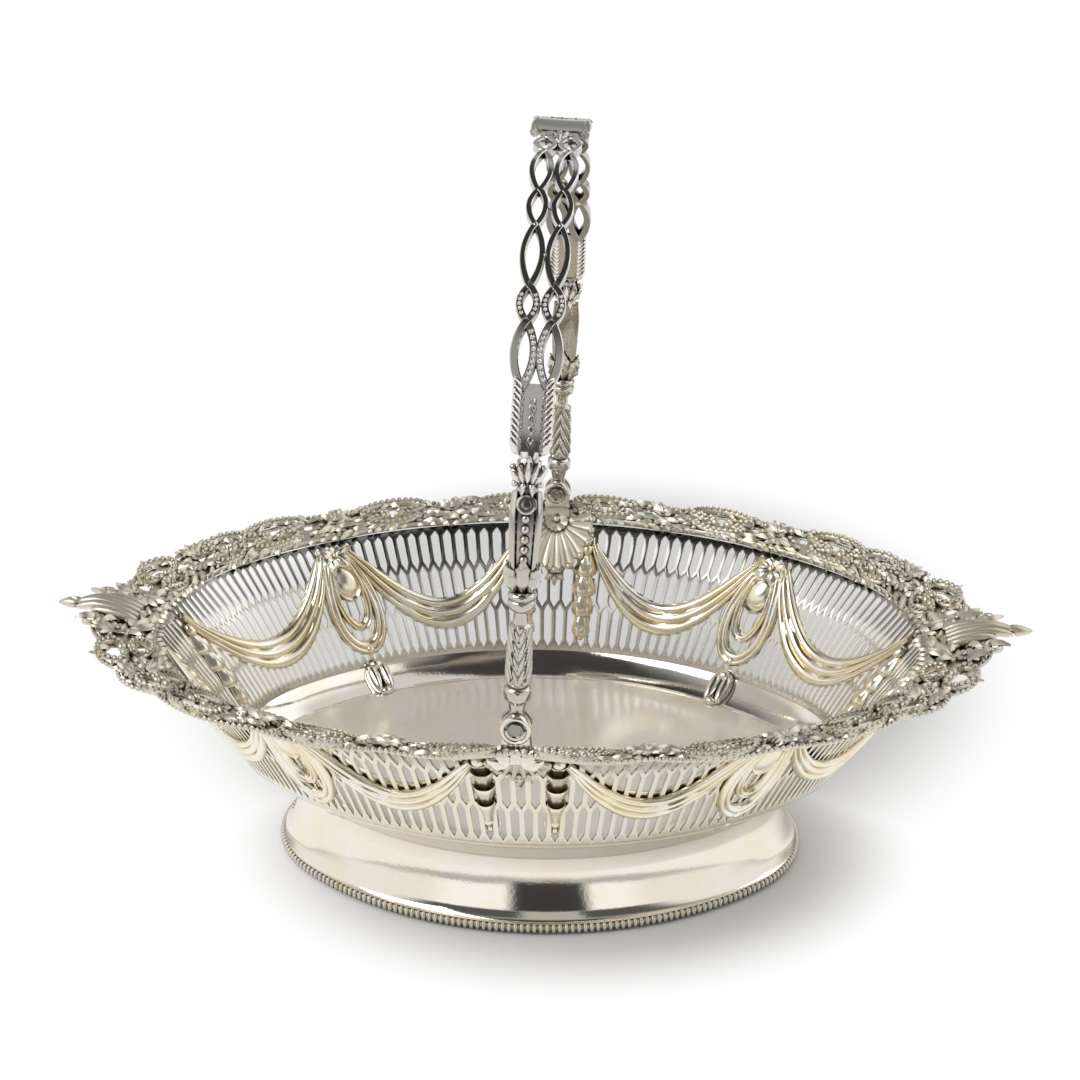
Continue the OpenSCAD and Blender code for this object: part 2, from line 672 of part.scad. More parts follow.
module handle_leg(y) {
    tongue_h = ear_r + tongue_rise;
    collar_z = tongue_h + collar_r * 1.5;
    baluster_from = collar_z + collar_r * 0.8;
    baluster_to = leg_h * 0.84;
    cap_z = leg_h * 0.97;
    tongue_neck = neck_r * 1.15;
    collar_edge = collar_r * 0.9;
    collar_half = collar_r * 0.45;
    collar_top = collar_z + collar_r * 0.55;
    cap_r = baluster_r * 0.95;
    cap_half = baluster_r * 0.3;
    profile = [[0, tongue_h], [tongue_neck, tongue_h], [tongue_neck, collar_z - collar_r / 2],
        [collar_edge, collar_z - collar_half], [collar_r, collar_z], [collar_edge, collar_z + collar_half],
        [neck_r, collar_top], [neck_r, baluster_from], [baluster_r, baluster_from + baluster_r],
        [cap_r, baluster_to - baluster_r], [neck_r, baluster_to], [neck_r, cap_z - 2 * cap_half],
        [cap_r, cap_z - cap_half], [cap_r, cap_z + cap_half], [neck_r, cap_z + 2 * cap_half],
        [0, cap_z + 2 * cap_half]];
    bead_from = arc_angle(side_r, 3 * stem_bead_r);
    bead_span = stem_end - bead_from - arc_angle(side_r, 1.5 * stem_bead_r);
    bead_base = stem_t / 2;
    bead = [[0, 0], [stem_bead_r, 0], [stem_bead_r, bead_base + stem_bead_r * 0.3],
        [stem_bead_r * 0.7, bead_base + stem_bead_r * 0.75], [0, bead_base + stem_bead_r]];
    color(silver) handle_frame(y) difference() {
        union() {
            translate([0, hinge_y, 0]) {
                rotate([90, 0, 0]) cylinder(r = eye_r, h = tongue_t, center = true, $fn = small_fn);
                translate([-neck_r, -tongue_t / 2, 0]) cube([2 * neck_r, tongue_t, tongue_h + 1]);
                rotate_extrude($fn = small_fn) polygon(profile);
            }
            strap(side_centre, side_r, 0, stem_end - joint_gap, stem_w, stem_t);
            for (i = [0 : stem_beads - 1])
                on_strap(side_centre, side_r, bead_from + bead_span * i / (stem_beads - 1))
                    rotate([-90, 0, 0]) rotate_extrude($fn = small_fn) polygon(bead);
        }
        translate([0, hinge_y, 0]) rotate([90, 0, 0])
            cylinder(r = pin_r + run_fit, h = tongue_t + 2, center = true, $fn = small_fn);
    }
}

// Bud between the stem and the leaf panel, with two swelling lobes on each side
module handle_bud(y) {
    mid = (stem_end + bud_end - joint_gap) / 2;
    half_len = arc_len(side_r - bud_t / 2, bud_end - stem_end) / 2 - seam;
    n = 12;
    waist = 0.62;
    edge = [for (i = [-n : n]) let (t = i / n)
        [bud_w / 2 * (waist + (1 - waist) * abs(sin(180 * t))), half_len * t]];
    other = [for (i = [2 * n : -1 : 0]) [-edge[i].x, edge[i].y]];
    color(silver) handle_frame(y) on_strap(side_centre, side_r, mid) rotate([90, 0, 0])
        linear_extrude(bud_t, center = true) polygon(concat(edge, other));
}

module handle_panel(y) {
    rib_w = panel_w / 4;
    rib_t = strap_t + panel_rib;
    color(silver) handle_frame(y) {
        strap(side_centre, side_r, bud_end, panel_end - joint_gap, panel_w, strap_t);
        strap(side_centre, side_r, bud_end, panel_end - joint_gap, rib_w, rib_t);
    }
}

// Loops along each arc of the lattice, large and small in turn, as shares of the arc's length
side_loops = [0.3, 0.17, 0.32, 0.21];
top_loops = [0.68, 0.32];
function sum_before(list, i) = i == 0 ? 0 : sum_before(list, i - 1) + list[i - 1];

// Flat loop across the strap, as a bar with its middle cut out
module loop(half_w, half_len) {
    rotate([90, 0, 0]) difference() {
        linear_extrude(3 * strap_t, center = true)
            polygon(oval_outline(half_w, half_len + loop_wire / 2));
        linear_extrude(4 * strap_t, center = true)
            polygon(oval_outline(half_w - loop_wire, half_len - loop_wire / 2));
    }
}

// Pairs of loops side by side along one arc of the strap
module loop_chain(centre, radius, from, to, shares) {
    run = arc_len(radius, to - from);
    intersection() {
        for (i = [0 : len(shares) - 1])
            for (across = [-1, 1])
                on_strap(centre, radius, from + (to - from) * (sum_before(shares, i) + shares[i] / 2))
                    translate([across * (loop_half_w - loop_wire / 3), 0, 0])
                        loop(i % 2 == 0 ? loop_half_w : loop_small_w, run * shares[i] / 2);
        strap(centre, radius, from, to, panel_w * 1.5, strap_t);
    }
}

module handle_lattice(y) {
    color(silver) handle_frame(y)
        loop_chain(side_centre, side_r, panel_end, side_end - joint_gap, side_loops);
}

module handle_crown(y) {
    color(silver) handle_frame(y)
        loop_chain(top_centre, top_r, side_end, 90 - tablet_half - joint_gap, top_loops);
}

module handle_tablet() {
    color(silver) handle_frame(1) {
        strap(top_centre, top_r, 90 - tablet_half, 90 + tablet_half, tablet_w - 2 * roll_r, strap_t);
        for (side = [-1, 1])
            translate([0, top_centre.x, top_centre.y]) rotate([90, 0, 90])
                rotate_extrude(start = 90 - tablet_half, angle = 2 * tablet_half)
                    translate([top_r, side * (tablet_w / 2 - roll_r)])
                        circle(r = roll_r, $fn = small_fn);
    }
}

floor_dish();
foot_collet();
foot_bead_ring();
wall_side(-1, -1);  // wall_side_front_left
wall_side(1, -1);  // wall_side_front_right
wall_side(-1, 1);  // wall_side_back_left
wall_side(1, 1);  // wall_side_back_right
wall_end(-1, -1);  // wall_end_front_left
wall_end(1, -1);  // wall_end_front_right
wall_end(-1, 1);  // wall_end_back_left
wall_end(1, 1);  // wall_end_back_right
border_side(-1, -1);  // border_front_left
border_side(1, -1);  // border_front_right
border_side(-1, 1);  // border_back_left
border_side(1, 1);  // border_back_right
border_end(-1);  // border_end_left
border_end(1);  // border_end_right
end_shell(-1);  // end_shell_left
end_shell(1);  // end_shell_right
swag_side(-1, -1);  // swag_side_front_left
swag_side(1, -1);  // swag_side_front_right
swag_side(-1, 1);  // swag_side_back_left
swag_side(1, 1);  // swag_side_back_right
swag_end_part(-1, -1);  // swag_end_front_left
swag_end_part(1, -1);  // swag_end_front_right
swag_end_part(-1, 1);  // swag_end_back_left
swag_end_part(1, 1);  // swag_end_back_right
medallion(-1, -1);  // medallion_front_left
medallion(1, -1);  // medallion_front_right
medallion(-1, 1);  // medallion_back_left
medallion(1, 1);  // medallion_back_right
drop(-1, -1);  // drop_front_left
drop(1, -1);  // drop_front_right
drop(-1, 1);  // drop_back_left
drop(1, 1);  // drop_back_right
tassel_side(-1, -1);  // tassel_side_front_left
tassel_side(1, -1);  // tassel_side_front_right
tassel_side(-1, 1);  // tassel_side_back_left
tassel_side(1, 1);  // tassel_side_back_right
tassel_end(-1, -1);  // tassel_end_front_left
tassel_end(1, -1);  // tassel_end_front_right
tassel_end(-1, 1);  // tassel_end_back_left
tassel_end(1, 1);  // tassel_end_back_right
hinge_fan(-1);  // hinge_fan_front
hinge_fan(1);  // hinge_fan_back
hinge_bracket(-1);  // hinge_bracket_front
hinge_bracket(1);  // hinge_bracket_back
hinge_pin(-1);  // hinge_pin_front
hinge_pin(1);  // hinge_pin_back
handle_leg(-1);  // handle_leg_front
handle_leg(1);  // handle_leg_back
handle_bud(-1);  // handle_bud_front
handle_bud(1);  // handle_bud_back
handle_panel(-1);  // handle_panel_front
handle_panel(1);  // handle_panel_back
handle_lattice(-1);  // handle_lattice_front
handle_lattice(1);  // handle_lattice_back
handle_crown(-1);  // handle_crown_front
handle_crown(1);  // handle_crown_back
handle_tablet();
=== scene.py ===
"""Looks of an oval silver cake basket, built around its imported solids.

Shapes are worked out in millimetres and brought to metres when they become pieces.
"""

import math

import bpy
import numpy as np
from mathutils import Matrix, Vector


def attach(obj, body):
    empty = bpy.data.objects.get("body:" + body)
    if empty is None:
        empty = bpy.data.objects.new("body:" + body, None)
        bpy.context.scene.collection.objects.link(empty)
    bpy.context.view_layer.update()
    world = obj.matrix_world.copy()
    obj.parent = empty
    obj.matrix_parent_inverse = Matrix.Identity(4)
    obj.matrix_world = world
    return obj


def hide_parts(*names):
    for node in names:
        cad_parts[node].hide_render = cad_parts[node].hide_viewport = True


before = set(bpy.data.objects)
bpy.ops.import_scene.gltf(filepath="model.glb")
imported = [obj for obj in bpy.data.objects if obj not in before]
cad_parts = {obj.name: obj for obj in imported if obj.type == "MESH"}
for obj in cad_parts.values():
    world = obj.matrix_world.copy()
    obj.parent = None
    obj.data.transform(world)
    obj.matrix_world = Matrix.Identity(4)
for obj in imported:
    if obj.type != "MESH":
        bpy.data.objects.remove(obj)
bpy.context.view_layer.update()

MM = 0.001
TAU = 2 * math.pi

# Driving sizes in millimetres, the solids' own where the two agree
WALL_CENTRE = 62.4277
WALL_SIDE_R = 143.9
WALL_Z = 43.3
WALL_RISE = 44.7
WALL_FLARE = 16.2
WALL_T = 1.2
WALL_STRETCH = 0.12
WALL_HOLLOW = 1.2
WALL_TURN = 8.0
TURN_SHARE = 0.44
TURN_LIMIT = 1.35
TURN_SINK = 0.8
LOWEST_SHARE = -0.2
TOP_ROW_Z = 78.0
SLOT_BAR = 1.55
SLOT_TIP = 2.6
SLOT_MARGIN = 1.5
SLOT_ROWS = 3
END_COLUMNS = 16
SIDE_COLUMNS = 30
COLUMN_EASE = 0.75
FLOOR_Z = 36.0
FLOOR_T = 1.0
CORNER_RUN = 11.5
FOOT_CENTRE = 49.8552
FOOT_SIDE_R = 125.455
FOOT_T = 1.2
FOOT_WAIST = 9.2
FOOT_CURVE_H = 18.0
BEAD_D = 4.4
BORDER_SIDE_W = 18.0
BORDER_END_EXTRA = 20.0
BORDER_Z = 98.5
BORDER_T = 2.0
BORDER_LIP = 1.0
BORDER_FALL = 4.5
LOBE_DEPTH = 3.0
LOBE_COUNT = 6
TIP_HALF_X = 190.0
HINGE_Y = 109.0
HINGE_Z = 105.75
HANDLE_LEAN = math.radians(2.5)
HANDLE_H = 184.0
LEG_H = 51.0
TOP_R = 80.0

# Worked-out sizes
WALL_END_R = WALL_SIDE_R - WALL_CENTRE * math.sqrt(2)
FOOT_END_R = FOOT_SIDE_R - FOOT_CENTRE * math.sqrt(2)
WALL_TOP_Z = WALL_Z + WALL_RISE
WALL_LEAN = math.atan2(WALL_FLARE, WALL_RISE)
WALL_SLOPE = math.hypot(WALL_FLARE, WALL_RISE)
ROW_PITCH = (WALL_SLOPE - 2 * SLOT_MARGIN - SLOT_TIP + SLOT_BAR) / SLOT_ROWS
SLOT_LEN = ROW_PITCH + SLOT_TIP - SLOT_BAR
QUARTER_COLUMNS = END_COLUMNS + SIDE_COLUMNS
SLOT_PITCH = (WALL_SIDE_R + WALL_FLARE / 2) * math.pi / 4 / SIDE_COLUMNS
QUARTERS = [("front", "left"), ("front", "right"), ("back", "left"), ("back", "right")]


# Mesh tools

def deselect():
    """Leaves edit mode and selects nothing."""
    if bpy.context.object and bpy.context.object.mode != "OBJECT":
        bpy.ops.object.mode_set(mode="OBJECT")
    bpy.ops.object.select_all(action="DESELECT")


def pick(obj):
    """Selects one object and makes it the active one."""
    deselect()
    obj.select_set(True)
    bpy.context.view_layer.objects.active = obj
    return obj


def named(name):
    """Names the active object and its mesh."""
    obj = bpy.context.object
    obj.name = name
    obj.data.name = name
    return obj


def points(obj):
    """All points of a mesh, one row each."""
    co = np.empty(len(obj.data.vertices) * 3)
    obj.data.vertices.foreach_get("co", co)
    return co.reshape(-1, 3)


def put(obj, co):
    """Moves the points of a mesh to new places."""
    obj.data.vertices.foreach_set("co", np.asarray(co, dtype=np.float32).ravel())
    obj.data.update()
    return obj


def sheet(name, across, along):
    """Flat grid from 0 to 1 both ways, to be shaped."""
    deselect()
    bpy.ops.mesh.primitive_grid_add(x_subdivisions=across, y_subdivisions=along, size=1,
                                    location=(0.5, 0.5, 0))
    bpy.ops.object.transform_apply(location=True, rotation=True, scale=True)
    return named(name)


def grid_index(obj, across, along):
    """Column and row of every point of a sheet."""
    co = points(obj)
    return np.rint(co[:, 0] * across).astype(int), np.rint(co[:, 1] * along).astype(int)


def block(name):
    """Cube of size 1, to be shaped."""
    deselect()
    bpy.ops.mesh.primitive_cube_add(size=1, location=(0, 0, 0))
    return named(name)


def ball(name, detail=1):
    """Ball of radius 1, to be shaped."""
    deselect()
    bpy.ops.mesh.primitive_ico_sphere_add(subdivisions=detail, radius=1)
    return named(name)


def weld(obj, gap=0.001):
    """Merges doubles and turns all faces outwards."""
    pick(obj)
    bpy.ops.object.mode_set(mode="EDIT")
    bpy.ops.mesh.select_all(action="SELECT")
    bpy.ops.mesh.remove_doubles(threshold=gap)
    bpy.ops.mesh.normals_make_consistent(inside=False)
    bpy.ops.object.mode_set(mode="OBJECT")
    return obj


def modify(obj, kind, **settings):
    """Adds a modifier and applies it."""
    pick(obj)
    made = obj.modifiers.new(kind.lower(), kind)
    for key, value in settings.items():
        setattr(made, key, value)
    bpy.ops.object.modifier_apply(modifier=made.name)
    return obj


def copy_of(obj, name):
    """Copy of an object with its own mesh."""
    made = obj.copy()
    made.data = obj.data.copy()
    made.name = name
    made.data.name = name
    bpy.context.scene.collection.objects.link(made)
    return made


def join(name, objs):
    """Joins objects into one."""
    deselect()
    for obj in objs:
        obj.select_set(True)
    bpy.context.view_layer.objects.active = objs[0]
    if len(objs) > 1:
        bpy.ops.object.join()
    return named(name)


def remove(*objs):
    """Deletes patterns that are no longer needed."""
    for obj in objs:
        bpy.data.objects.remove(obj)


def set_out(pattern, name, places):
    """Copies a pattern to each place, which is a function of its points, and joins the copies."""
    co = points(pattern)
    copies = [put(copy_of(pattern, f"{name}_{i}"), place(co)) for i, place in enumerate(places)]
    return join(name, copies)


def smooth(obj, angle=40):
    """Shades a mesh smooth up to an angle in degrees."""
    pick(obj)
    bpy.ops.object.shade_smooth_by_angle(angle=math.radians(angle))
    return obj


def piece(obj, body, slot, finish, *nodes):
    """Brings a shape from millimetres to metres and makes it a piece of the basket."""
    put(obj, points(obj) * MM)
    obj.data.materials.clear()
    obj.data.materials.append(finish)
    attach(obj, body)
    if nodes:
        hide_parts(*nodes)
    return obj


# Ovals and surfaces

def oval(angle, out, centre=WALL_CENTRE, side_r=WALL_SIDE_R):
    """Point of a four-centre oval at a normal angle in radians, moved out by an offset."""
    angle, out = np.broadcast_arrays(np.asarray(angle, float), np.asarray(out, float))
    c, s = np.cos(angle), np.sin(angle)
    side = np.abs(s) > np.abs(c)
    radius = np.where(side, side_r, side_r - centre * math.sqrt(2)) + out
    x = np.where(side, 0, np.sign(c) * centre) + radius * c
    y = np.where(side, -np.sign(s) * centre, 0) + radius * s
    return x, y


def oval_ring(name, profile, steps, centre, side_r):
    """Sweeps a closed profile of (offset, height) points round an oval."""
    profile = np.array(list(profile) + [profile[0]])
    last = len(profile) - 1
    ring = sheet(name, steps, last)
    i, k = grid_index(ring, steps, last)
    x, y = oval(i / steps * TAU, profile[k, 0], centre, side_r)
    put(ring, np.stack([x, y, profile[k, 1]], 1))
    return weld(ring)


def column_angle(column):
    """Normal angle of a column of slots, counted from the right-hand end."""
    column = np.asarray(column, float)
    quarter = np.floor(column / QUARTER_COLUMNS)
    rest = column - quarter * QUARTER_COLUMNS
    odd = np.mod(quarter, 2) > 0.5
    rest = np.where(odd, QUARTER_COLUMNS - rest, rest)
    eighth = math.pi / 4
    along = (rest - END_COLUMNS) / SIDE_COLUMNS
    eased = COLUMN_EASE * along + (1 - COLUMN_EASE) * along ** 2
    angle = np.where(rest < END_COLUMNS, rest / END_COLUMNS, 1 + eased) * eighth
    return quarter * math.pi / 2 + np.where(odd, math.pi / 2 - angle, angle)


def border_start(angle):
    """Share of the border's width that the wall's turned-out top takes up, along the sides only."""
    return TURN_SHARE * np.sin(angle) ** 2


def on_wall(angle, up, out):
    """Point on the wall: normal angle, distance up the slope and distance out from the inner face.

    The wall is a little hollow, and along the sides its top turns outwards under the border.
    """
    angle, up, out = (np.asarray(a, float) for a in (angle, up, out))
    lean = np.array([math.sin(WALL_LEAN), math.cos(WALL_LEAN)])
    spread = BORDER_SIDE_W + BORDER_END_EXTRA * np.abs(np.cos(angle))
    start = border_start(angle)
    run = up * (1 + start * spread / WALL_SLOPE)
    first = WALL_SLOPE - WALL_TURN

    def hollow(share):
        return WALL_HOLLOW * 4 * share * (1 - share)

    rise = np.clip(run / WALL_SLOPE, LOWEST_SHARE, 1)
    dip = hollow(rise)
    plain = np.stack([run * lean[0] - dip * lean[1], run * lean[1] + dip * lean[0]])
    dip = hollow(first / WALL_SLOPE)
    low = np.array([first * lean[0] - dip * lean[1], first * lean[1] + dip * lean[0]])[:, None]
    corner = np.array([WALL_FLARE, WALL_RISE])[:, None]
    end = np.stack([WALL_FLARE - BORDER_LIP + spread * start,
                    border_height(angle, start) - TURN_SINK - WALL_Z])
    t = np.clip((run - first) / (WALL_TURN + start * spread), 0, TURN_LIMIT)
    bent = (1 - t) ** 2 * low + 2 * t * (1 - t) * corner + t ** 2 * end
    way = (1 - t) * (corner - low) + t * (end - corner)
    way = np.where(run > first, way / np.hypot(*way), lean[:, None])
    off, high = np.where(run > first, bent, plain) + out * np.stack([way[1], -way[0]])
    x, y = oval(angle, off)
    share = np.where(run > WALL_SLOPE, 1 - (run - WALL_SLOPE) / spread, rise)
    return np.stack([x * (1 + WALL_STRETCH * share), y, WALL_Z + high], 1)


# Finishes

class Socket:
    """One output socket of a node tree; arithmetic on it adds Math nodes."""

    def __init__(self, tree, socket=None):
        self.tree, self.socket = tree, socket

    def node(self, kind, inputs=None, out=0, **settings):
        """Adds a node with its settings, then its values and links, and gives one of its outputs."""
        made = self.tree.nodes.new(kind)
        for key, value in settings.items():
            setattr(made, key, value)
        for key, value in (inputs or {}).items():
            if isinstance(value, Socket):
                self.tree.links.new(value.socket, made.inputs[key])
            else:
                made.inputs[key].default_value = value
        return Socket(self.tree, made.outputs[out] if made.outputs else None)

    def math(self, operation, *values):
        """Adds a Math node."""
        return self.node("ShaderNodeMath", dict(enumerate(values)), operation=operation)

    def __add__(self, other):
        return self.math("ADD", self, other)

    def __sub__(self, other):
        return self.math("SUBTRACT", self, other)

    def __rsub__(self, other):
        return self.math("SUBTRACT", other, self)

    def __mul__(self, other):
        return self.math("MULTIPLY", self, other)

    __radd__ = __add__
    __rmul__ = __mul__

    def step(self, low, high):
        """Smoothly from 0 at low to 1 at high."""
        return self.node("ShaderNodeMapRange", {"Value": self, "From Min": low, "From Max": high},
                         interpolation_type="SMOOTHSTEP")

    def mix(self, first, second):
        """Colour between two, by this value."""
        return self.node("ShaderNodeMix", {0: self, 6: first, 7: second}, out=2, data_type="RGBA")


WARMTH = (1.0, 0.955, 0.86)
TOP_ROW_SHADE = 0.42


def silver(name, tint, recess, roughness, recess_share=1.0, reach=2.2, wave=0.00012, gilt=None, haze=0.0,
           inside=None):
    """Silver darkened in its recesses by tarnish and painted shade, with cloudy polish, fine scratches and
    soft dents.

    Gilding is kept in clouds and hollows. Haze dulls the flat of the floor. The wall's inside is
    painted darker as shade, and darker still in the top row of slots as painted shade under the border.
    """
    made = bpy.data.materials.new(name)
    made.use_nodes = True
    tree = made.node_tree
    tree.nodes.clear()
    start = Socket(tree)
    place = start.node("ShaderNodeTexCoord", out=3)
    cloud = start.node("ShaderNodeTexNoise", {"Vector": place, "Scale": 55.0, "Detail": 4.0,
                                              "Roughness": 0.6})
    grain = start.node("ShaderNodeTexNoise", {"Vector": place, "Scale": 900.0, "Detail": 3.0})
    drawn = start.node("ShaderNodeMapping", {"Vector": place, "Scale": (400.0, 2600.0, 2600.0),
                                             "Rotation": (0.0, 0.0, 0.7)})
    scratch = start.node("ShaderNodeTexNoise", {"Vector": drawn, "Scale": 1.0, "Detail": 2.0}).step(0.6, 0.75)
    # Ambient occlusion finds the recesses; their darker colour is tarnish and painted shade.
    hollow = start.node("ShaderNodeAmbientOcclusion", {"Distance": reach * MM}, out=1, samples=8,
                        only_local=False)
    dark = (1 - hollow.step(0.25, 0.85)) * recess_share
    warm = tuple(c * w for c, w in zip(tint, WARMTH))
    colour = cloud.step(0.35, 0.7).mix((*tint, 1), (*warm, 1))
    if gilt:
        kept = cloud.step(0.3, 0.62) * 0.55 + (1 - hollow.step(0.5, 0.97)) * 0.7
        colour = kept.mix(colour, (*gilt, 1))
    # Painted shade: the wall's inner face is darker, and the top row of slots under the border darker still.
    if inside:
        inward = start.node("ShaderNodeAttribute", out=2, attribute_name="inward")
        level = start.node("ShaderNodeSeparateXYZ", {0: place}, out=2)
        top_row = level.step(TOP_ROW_Z * MM, (TOP_ROW_Z + 3) * MM)
        top_row_shade = tuple(c * TOP_ROW_SHADE for c in inside)
        colour = inward.mix(colour, top_row.mix((*inside, 1), (*top_row_shade, 1)))
    colour = dark.mix(colour, (*recess, 1))
    rough = cloud * 0.07 + grain * 0.04 + scratch * 0.05 + dark * 0.3 + (roughness - 0.05)
    dents = start.node("ShaderNodeTexNoise", {"Vector": place, "Scale": 38.0, "Detail": 1.0}) + grain * 0.05
    bump = start.node("ShaderNodeBump", {"Height": dents, "Strength": 1.0, "Distance": wave})
    metal = 1.0
    if haze:
        level = start.node("ShaderNodeSeparateXYZ", {0: place}, out=2)
        turned_up = level.step((FLOOR_Z + 0.1) * MM, (FLOOR_Z + 0.6) * MM)
        metal = turned_up * haze + (1 - haze)
        rough = rough - turned_up * 0.1
    shader = start.node("ShaderNodeBsdfPrincipled", {"Base Color": colour, "Metallic": metal,
                                                     "Roughness": rough, "Normal": bump})
    start.node("ShaderNodeOutputMaterial", {"Surface": shader})
    return made


# Each recess colour is tarnish and painted shade, darkest on the handle and hinge ears.
FLOOR = silver("floor_silver", (0.87, 0.83, 0.78), (0.34, 0.30, 0.24), 0.17, recess_share=0.25, wave=0.0003,
               haze=0.62)
FOOT = silver("foot_silver", (0.87, 0.825, 0.75), (0.30, 0.26, 0.2), 0.07, recess_share=0.3, wave=0.0003)
# The wall's inside colour is painted shade on its inner face.
WALL = silver("pierced_silver", (0.80, 0.775, 0.72), (0.28, 0.25, 0.19), 0.16, recess_share=0.5, reach=1.6,
              gilt=(0.80, 0.73, 0.58), inside=(0.68, 0.655, 0.60))
CAST = silver("cast_silver", (0.72, 0.68, 0.595), (0.15, 0.133, 0.105), 0.40, recess_share=0.9, reach=2.4)
GILT = silver("gilt_drapery", (0.90, 0.87, 0.80), (0.30, 0.24, 0.14), 0.22, recess_share=0.45, reach=1.7,
              gilt=(0.87, 0.755, 0.50))
HUSK = silver("gilt_husks", (0.88, 0.83, 0.72), (0.36, 0.28, 0.15), 0.24, recess_share=0.8, reach=2.4,
              gilt=(0.86, 0.765, 0.56))
EAR = silver("ear_silver", (0.84, 0.82, 0.77), (0.05, 0.047, 0.042), 0.14, recess_share=0.8, reach=1.4)
HANDLE = silver("handle_silver", (0.79, 0.765, 0.72), (0.045, 0.042, 0.038), 0.12, reach=4.2)
# Darker copies of the handle silver for the leg, lattice, crown and tablet: painted shade.
LEG = silver("leg_silver_shaded", (0.63, 0.605, 0.555), (0.045, 0.042, 0.038), 0.12, reach=4.2)
LATTICE = silver("lattice_silver_shaded", (0.60, 0.59, 0.565), (0.04, 0.038, 0.034), 0.12, reach=4.2)
PIN = silver("pin_steel", (0.36, 0.37, 0.34), (0.03, 0.03, 0.028), 0.12, reach=1.6)


# Basket: floor, foot and pierced wall

OVAL_STEPS = 240


def floor_dish():
    """Flat polished floor with its round upturned corner."""
    steps = 10
    rise = WALL_Z - FLOOR_Z
    lean_t = WALL_T / math.cos(WALL_LEAN)
    turn = [math.pi / 2 * i / steps for i in range(steps + 1)]
    even = 0.7
    corner = [(-CORNER_RUN * (1 - even * i / steps - (1 - even) * math.sin(q)),
               FLOOR_Z + rise * (even * i / steps + (1 - even) * (1 - math.cos(q))))
              for i, q in enumerate(turn)]
    under = [(d + lean_t * math.sin(q), z - FLOOR_T * math.cos(q)) for (d, z), q in zip(corner, turn)]
    rings = 6
    inner = [(i / rings, FLOOR_Z) for i in range(rings)]
    line = [(-CORNER_RUN - d, FLOOR_Z + h) for d, h in ((2.2, 0.0), (1.5, 0.28), (0.9, 0.3))]
    beneath = [(i / rings, FLOOR_Z - FLOOR_T) for i in range(rings)]
    profile = inner + line + corner + under[::-1] + beneath[::-1]
    dish = sheet("floor_dish_polished", OVAL_STEPS, len(profile) - 1)
    i, k = grid_index(dish, OVAL_STEPS, len(profile) - 1)
    round_at = i / OVAL_STEPS * TAU
    first, z = np.array(profile)[k].T
    flat = (k < rings) | (k >= len(profile) - rings)
    lined = (k >= rings) & (k < rings + len(line))
    sway = 0.35 * np.sin(round_at * 19) + 0.25 * np.sin(round_at * 31 + 1)
    x, y = oval(round_at, np.where(flat, -CORNER_RUN, first + np.where(lined, sway, 0)))
    scale = np.where(flat, first, 1)
    put(dish, np.stack([x * scale, y * scale, z], 1))
    return piece(smooth(weld(dish)), "basket", "sheet_silver", FLOOR, "floor_dish")


def foot():
    """Plain spreading foot with a low step under the floor, and the bead ring it stands on."""
    top = FLOOR_Z - FLOOR_T - 0.1
    base = BEAD_D * math.cos(math.pi / 12)
    steps = 22
    edge = BEAD_D / 2
    height = np.linspace(0, 1, steps + 1)
    lean = np.tan(np.radians(np.interp(height, (0, 0.2, 0.9, 1), (48, 26, 12, 0))))
    inward = np.concatenate([[0], np.cumsum((lean[1:] + lean[:-1]) / 2)])
    flare = [(-edge - (FOOT_WAIST - edge) * d / inward[-1], base + FOOT_CURVE_H * t)
             for d, t in zip(inward, height)]
    step = FOOT_T / 2
    neck = [(-FOOT_WAIST, top - 6.4 * FOOT_T), (-FOOT_WAIST + step * 0.3, top - 5.6 * FOOT_T),
            (-FOOT_WAIST + step, top - 5 * FOOT_T), (-FOOT_WAIST + step, top - 1),
            (-FOOT_WAIST + 1.6 * step, top - 0.5), (-FOOT_WAIST + 1.6 * step, top)]
    outer = [(-edge + 0.5, base - 0.3)] + flare + neck
    inner = [(d - FOOT_T, z) for d, z in outer[::-1]]
    collet = oval_ring("foot_polished", outer + inner, OVAL_STEPS, FOOT_CENTRE, FOOT_SIDE_R)
    piece(smooth(collet), "basket", "sheet_silver", FOOT, "foot_collet")
    bead_ring(base)


def bead_ring(height):
    """Row of round beads on a thin plain ring."""
    radius = height / 2
    core = [(-radius + radius * 0.45 * math.cos(q), radius + radius * 0.6 * math.sin(q))
            for q in (TAU * i / 10 for i in range(10))]
    ring = oval_ring("bead_core", core, OVAL_STEPS, FOOT_CENTRE, FOOT_SIDE_R)
    bead = ball("bead", 2)
    count = 232
    arcs = (FOOT_END_R - radius, FOOT_SIDE_R - radius)
    quarter = (arcs[0] + arcs[1]) * math.pi / 4

    def bead_at(i):
        run = 4 * quarter * (i + 0.5) / count
        q, rest = divmod(run, quarter)
        if q % 2:
            rest = quarter - rest
        end = arcs[0] * math.pi / 4
        angle = rest / arcs[0] if rest < end else math.pi / 4 + (rest - end) / arcs[1]
        angle = (q + 1) * math.pi / 2 - angle if q % 2 else q * math.pi / 2 + angle
        x, y = oval(angle, -radius, FOOT_CENTRE, FOOT_SIDE_R)
        c, s = math.cos(angle), math.sin(angle)

        def place(co):
            out, along, up = (co * radius * np.array([0.98, 0.54, 0.98])).T
            return np.column_stack([x + out * c - along * s, y + out * s + along * c, radius + up])

        return place

    beads = set_out(bead, "foot_beads", [bead_at(i) for i in range(count)])
    remove(bead)
    row = join("foot_bead_row", [ring, beads])
    return piece(smooth(row, 60), "basket", "cast_border", CAST, "foot_bead_ring")


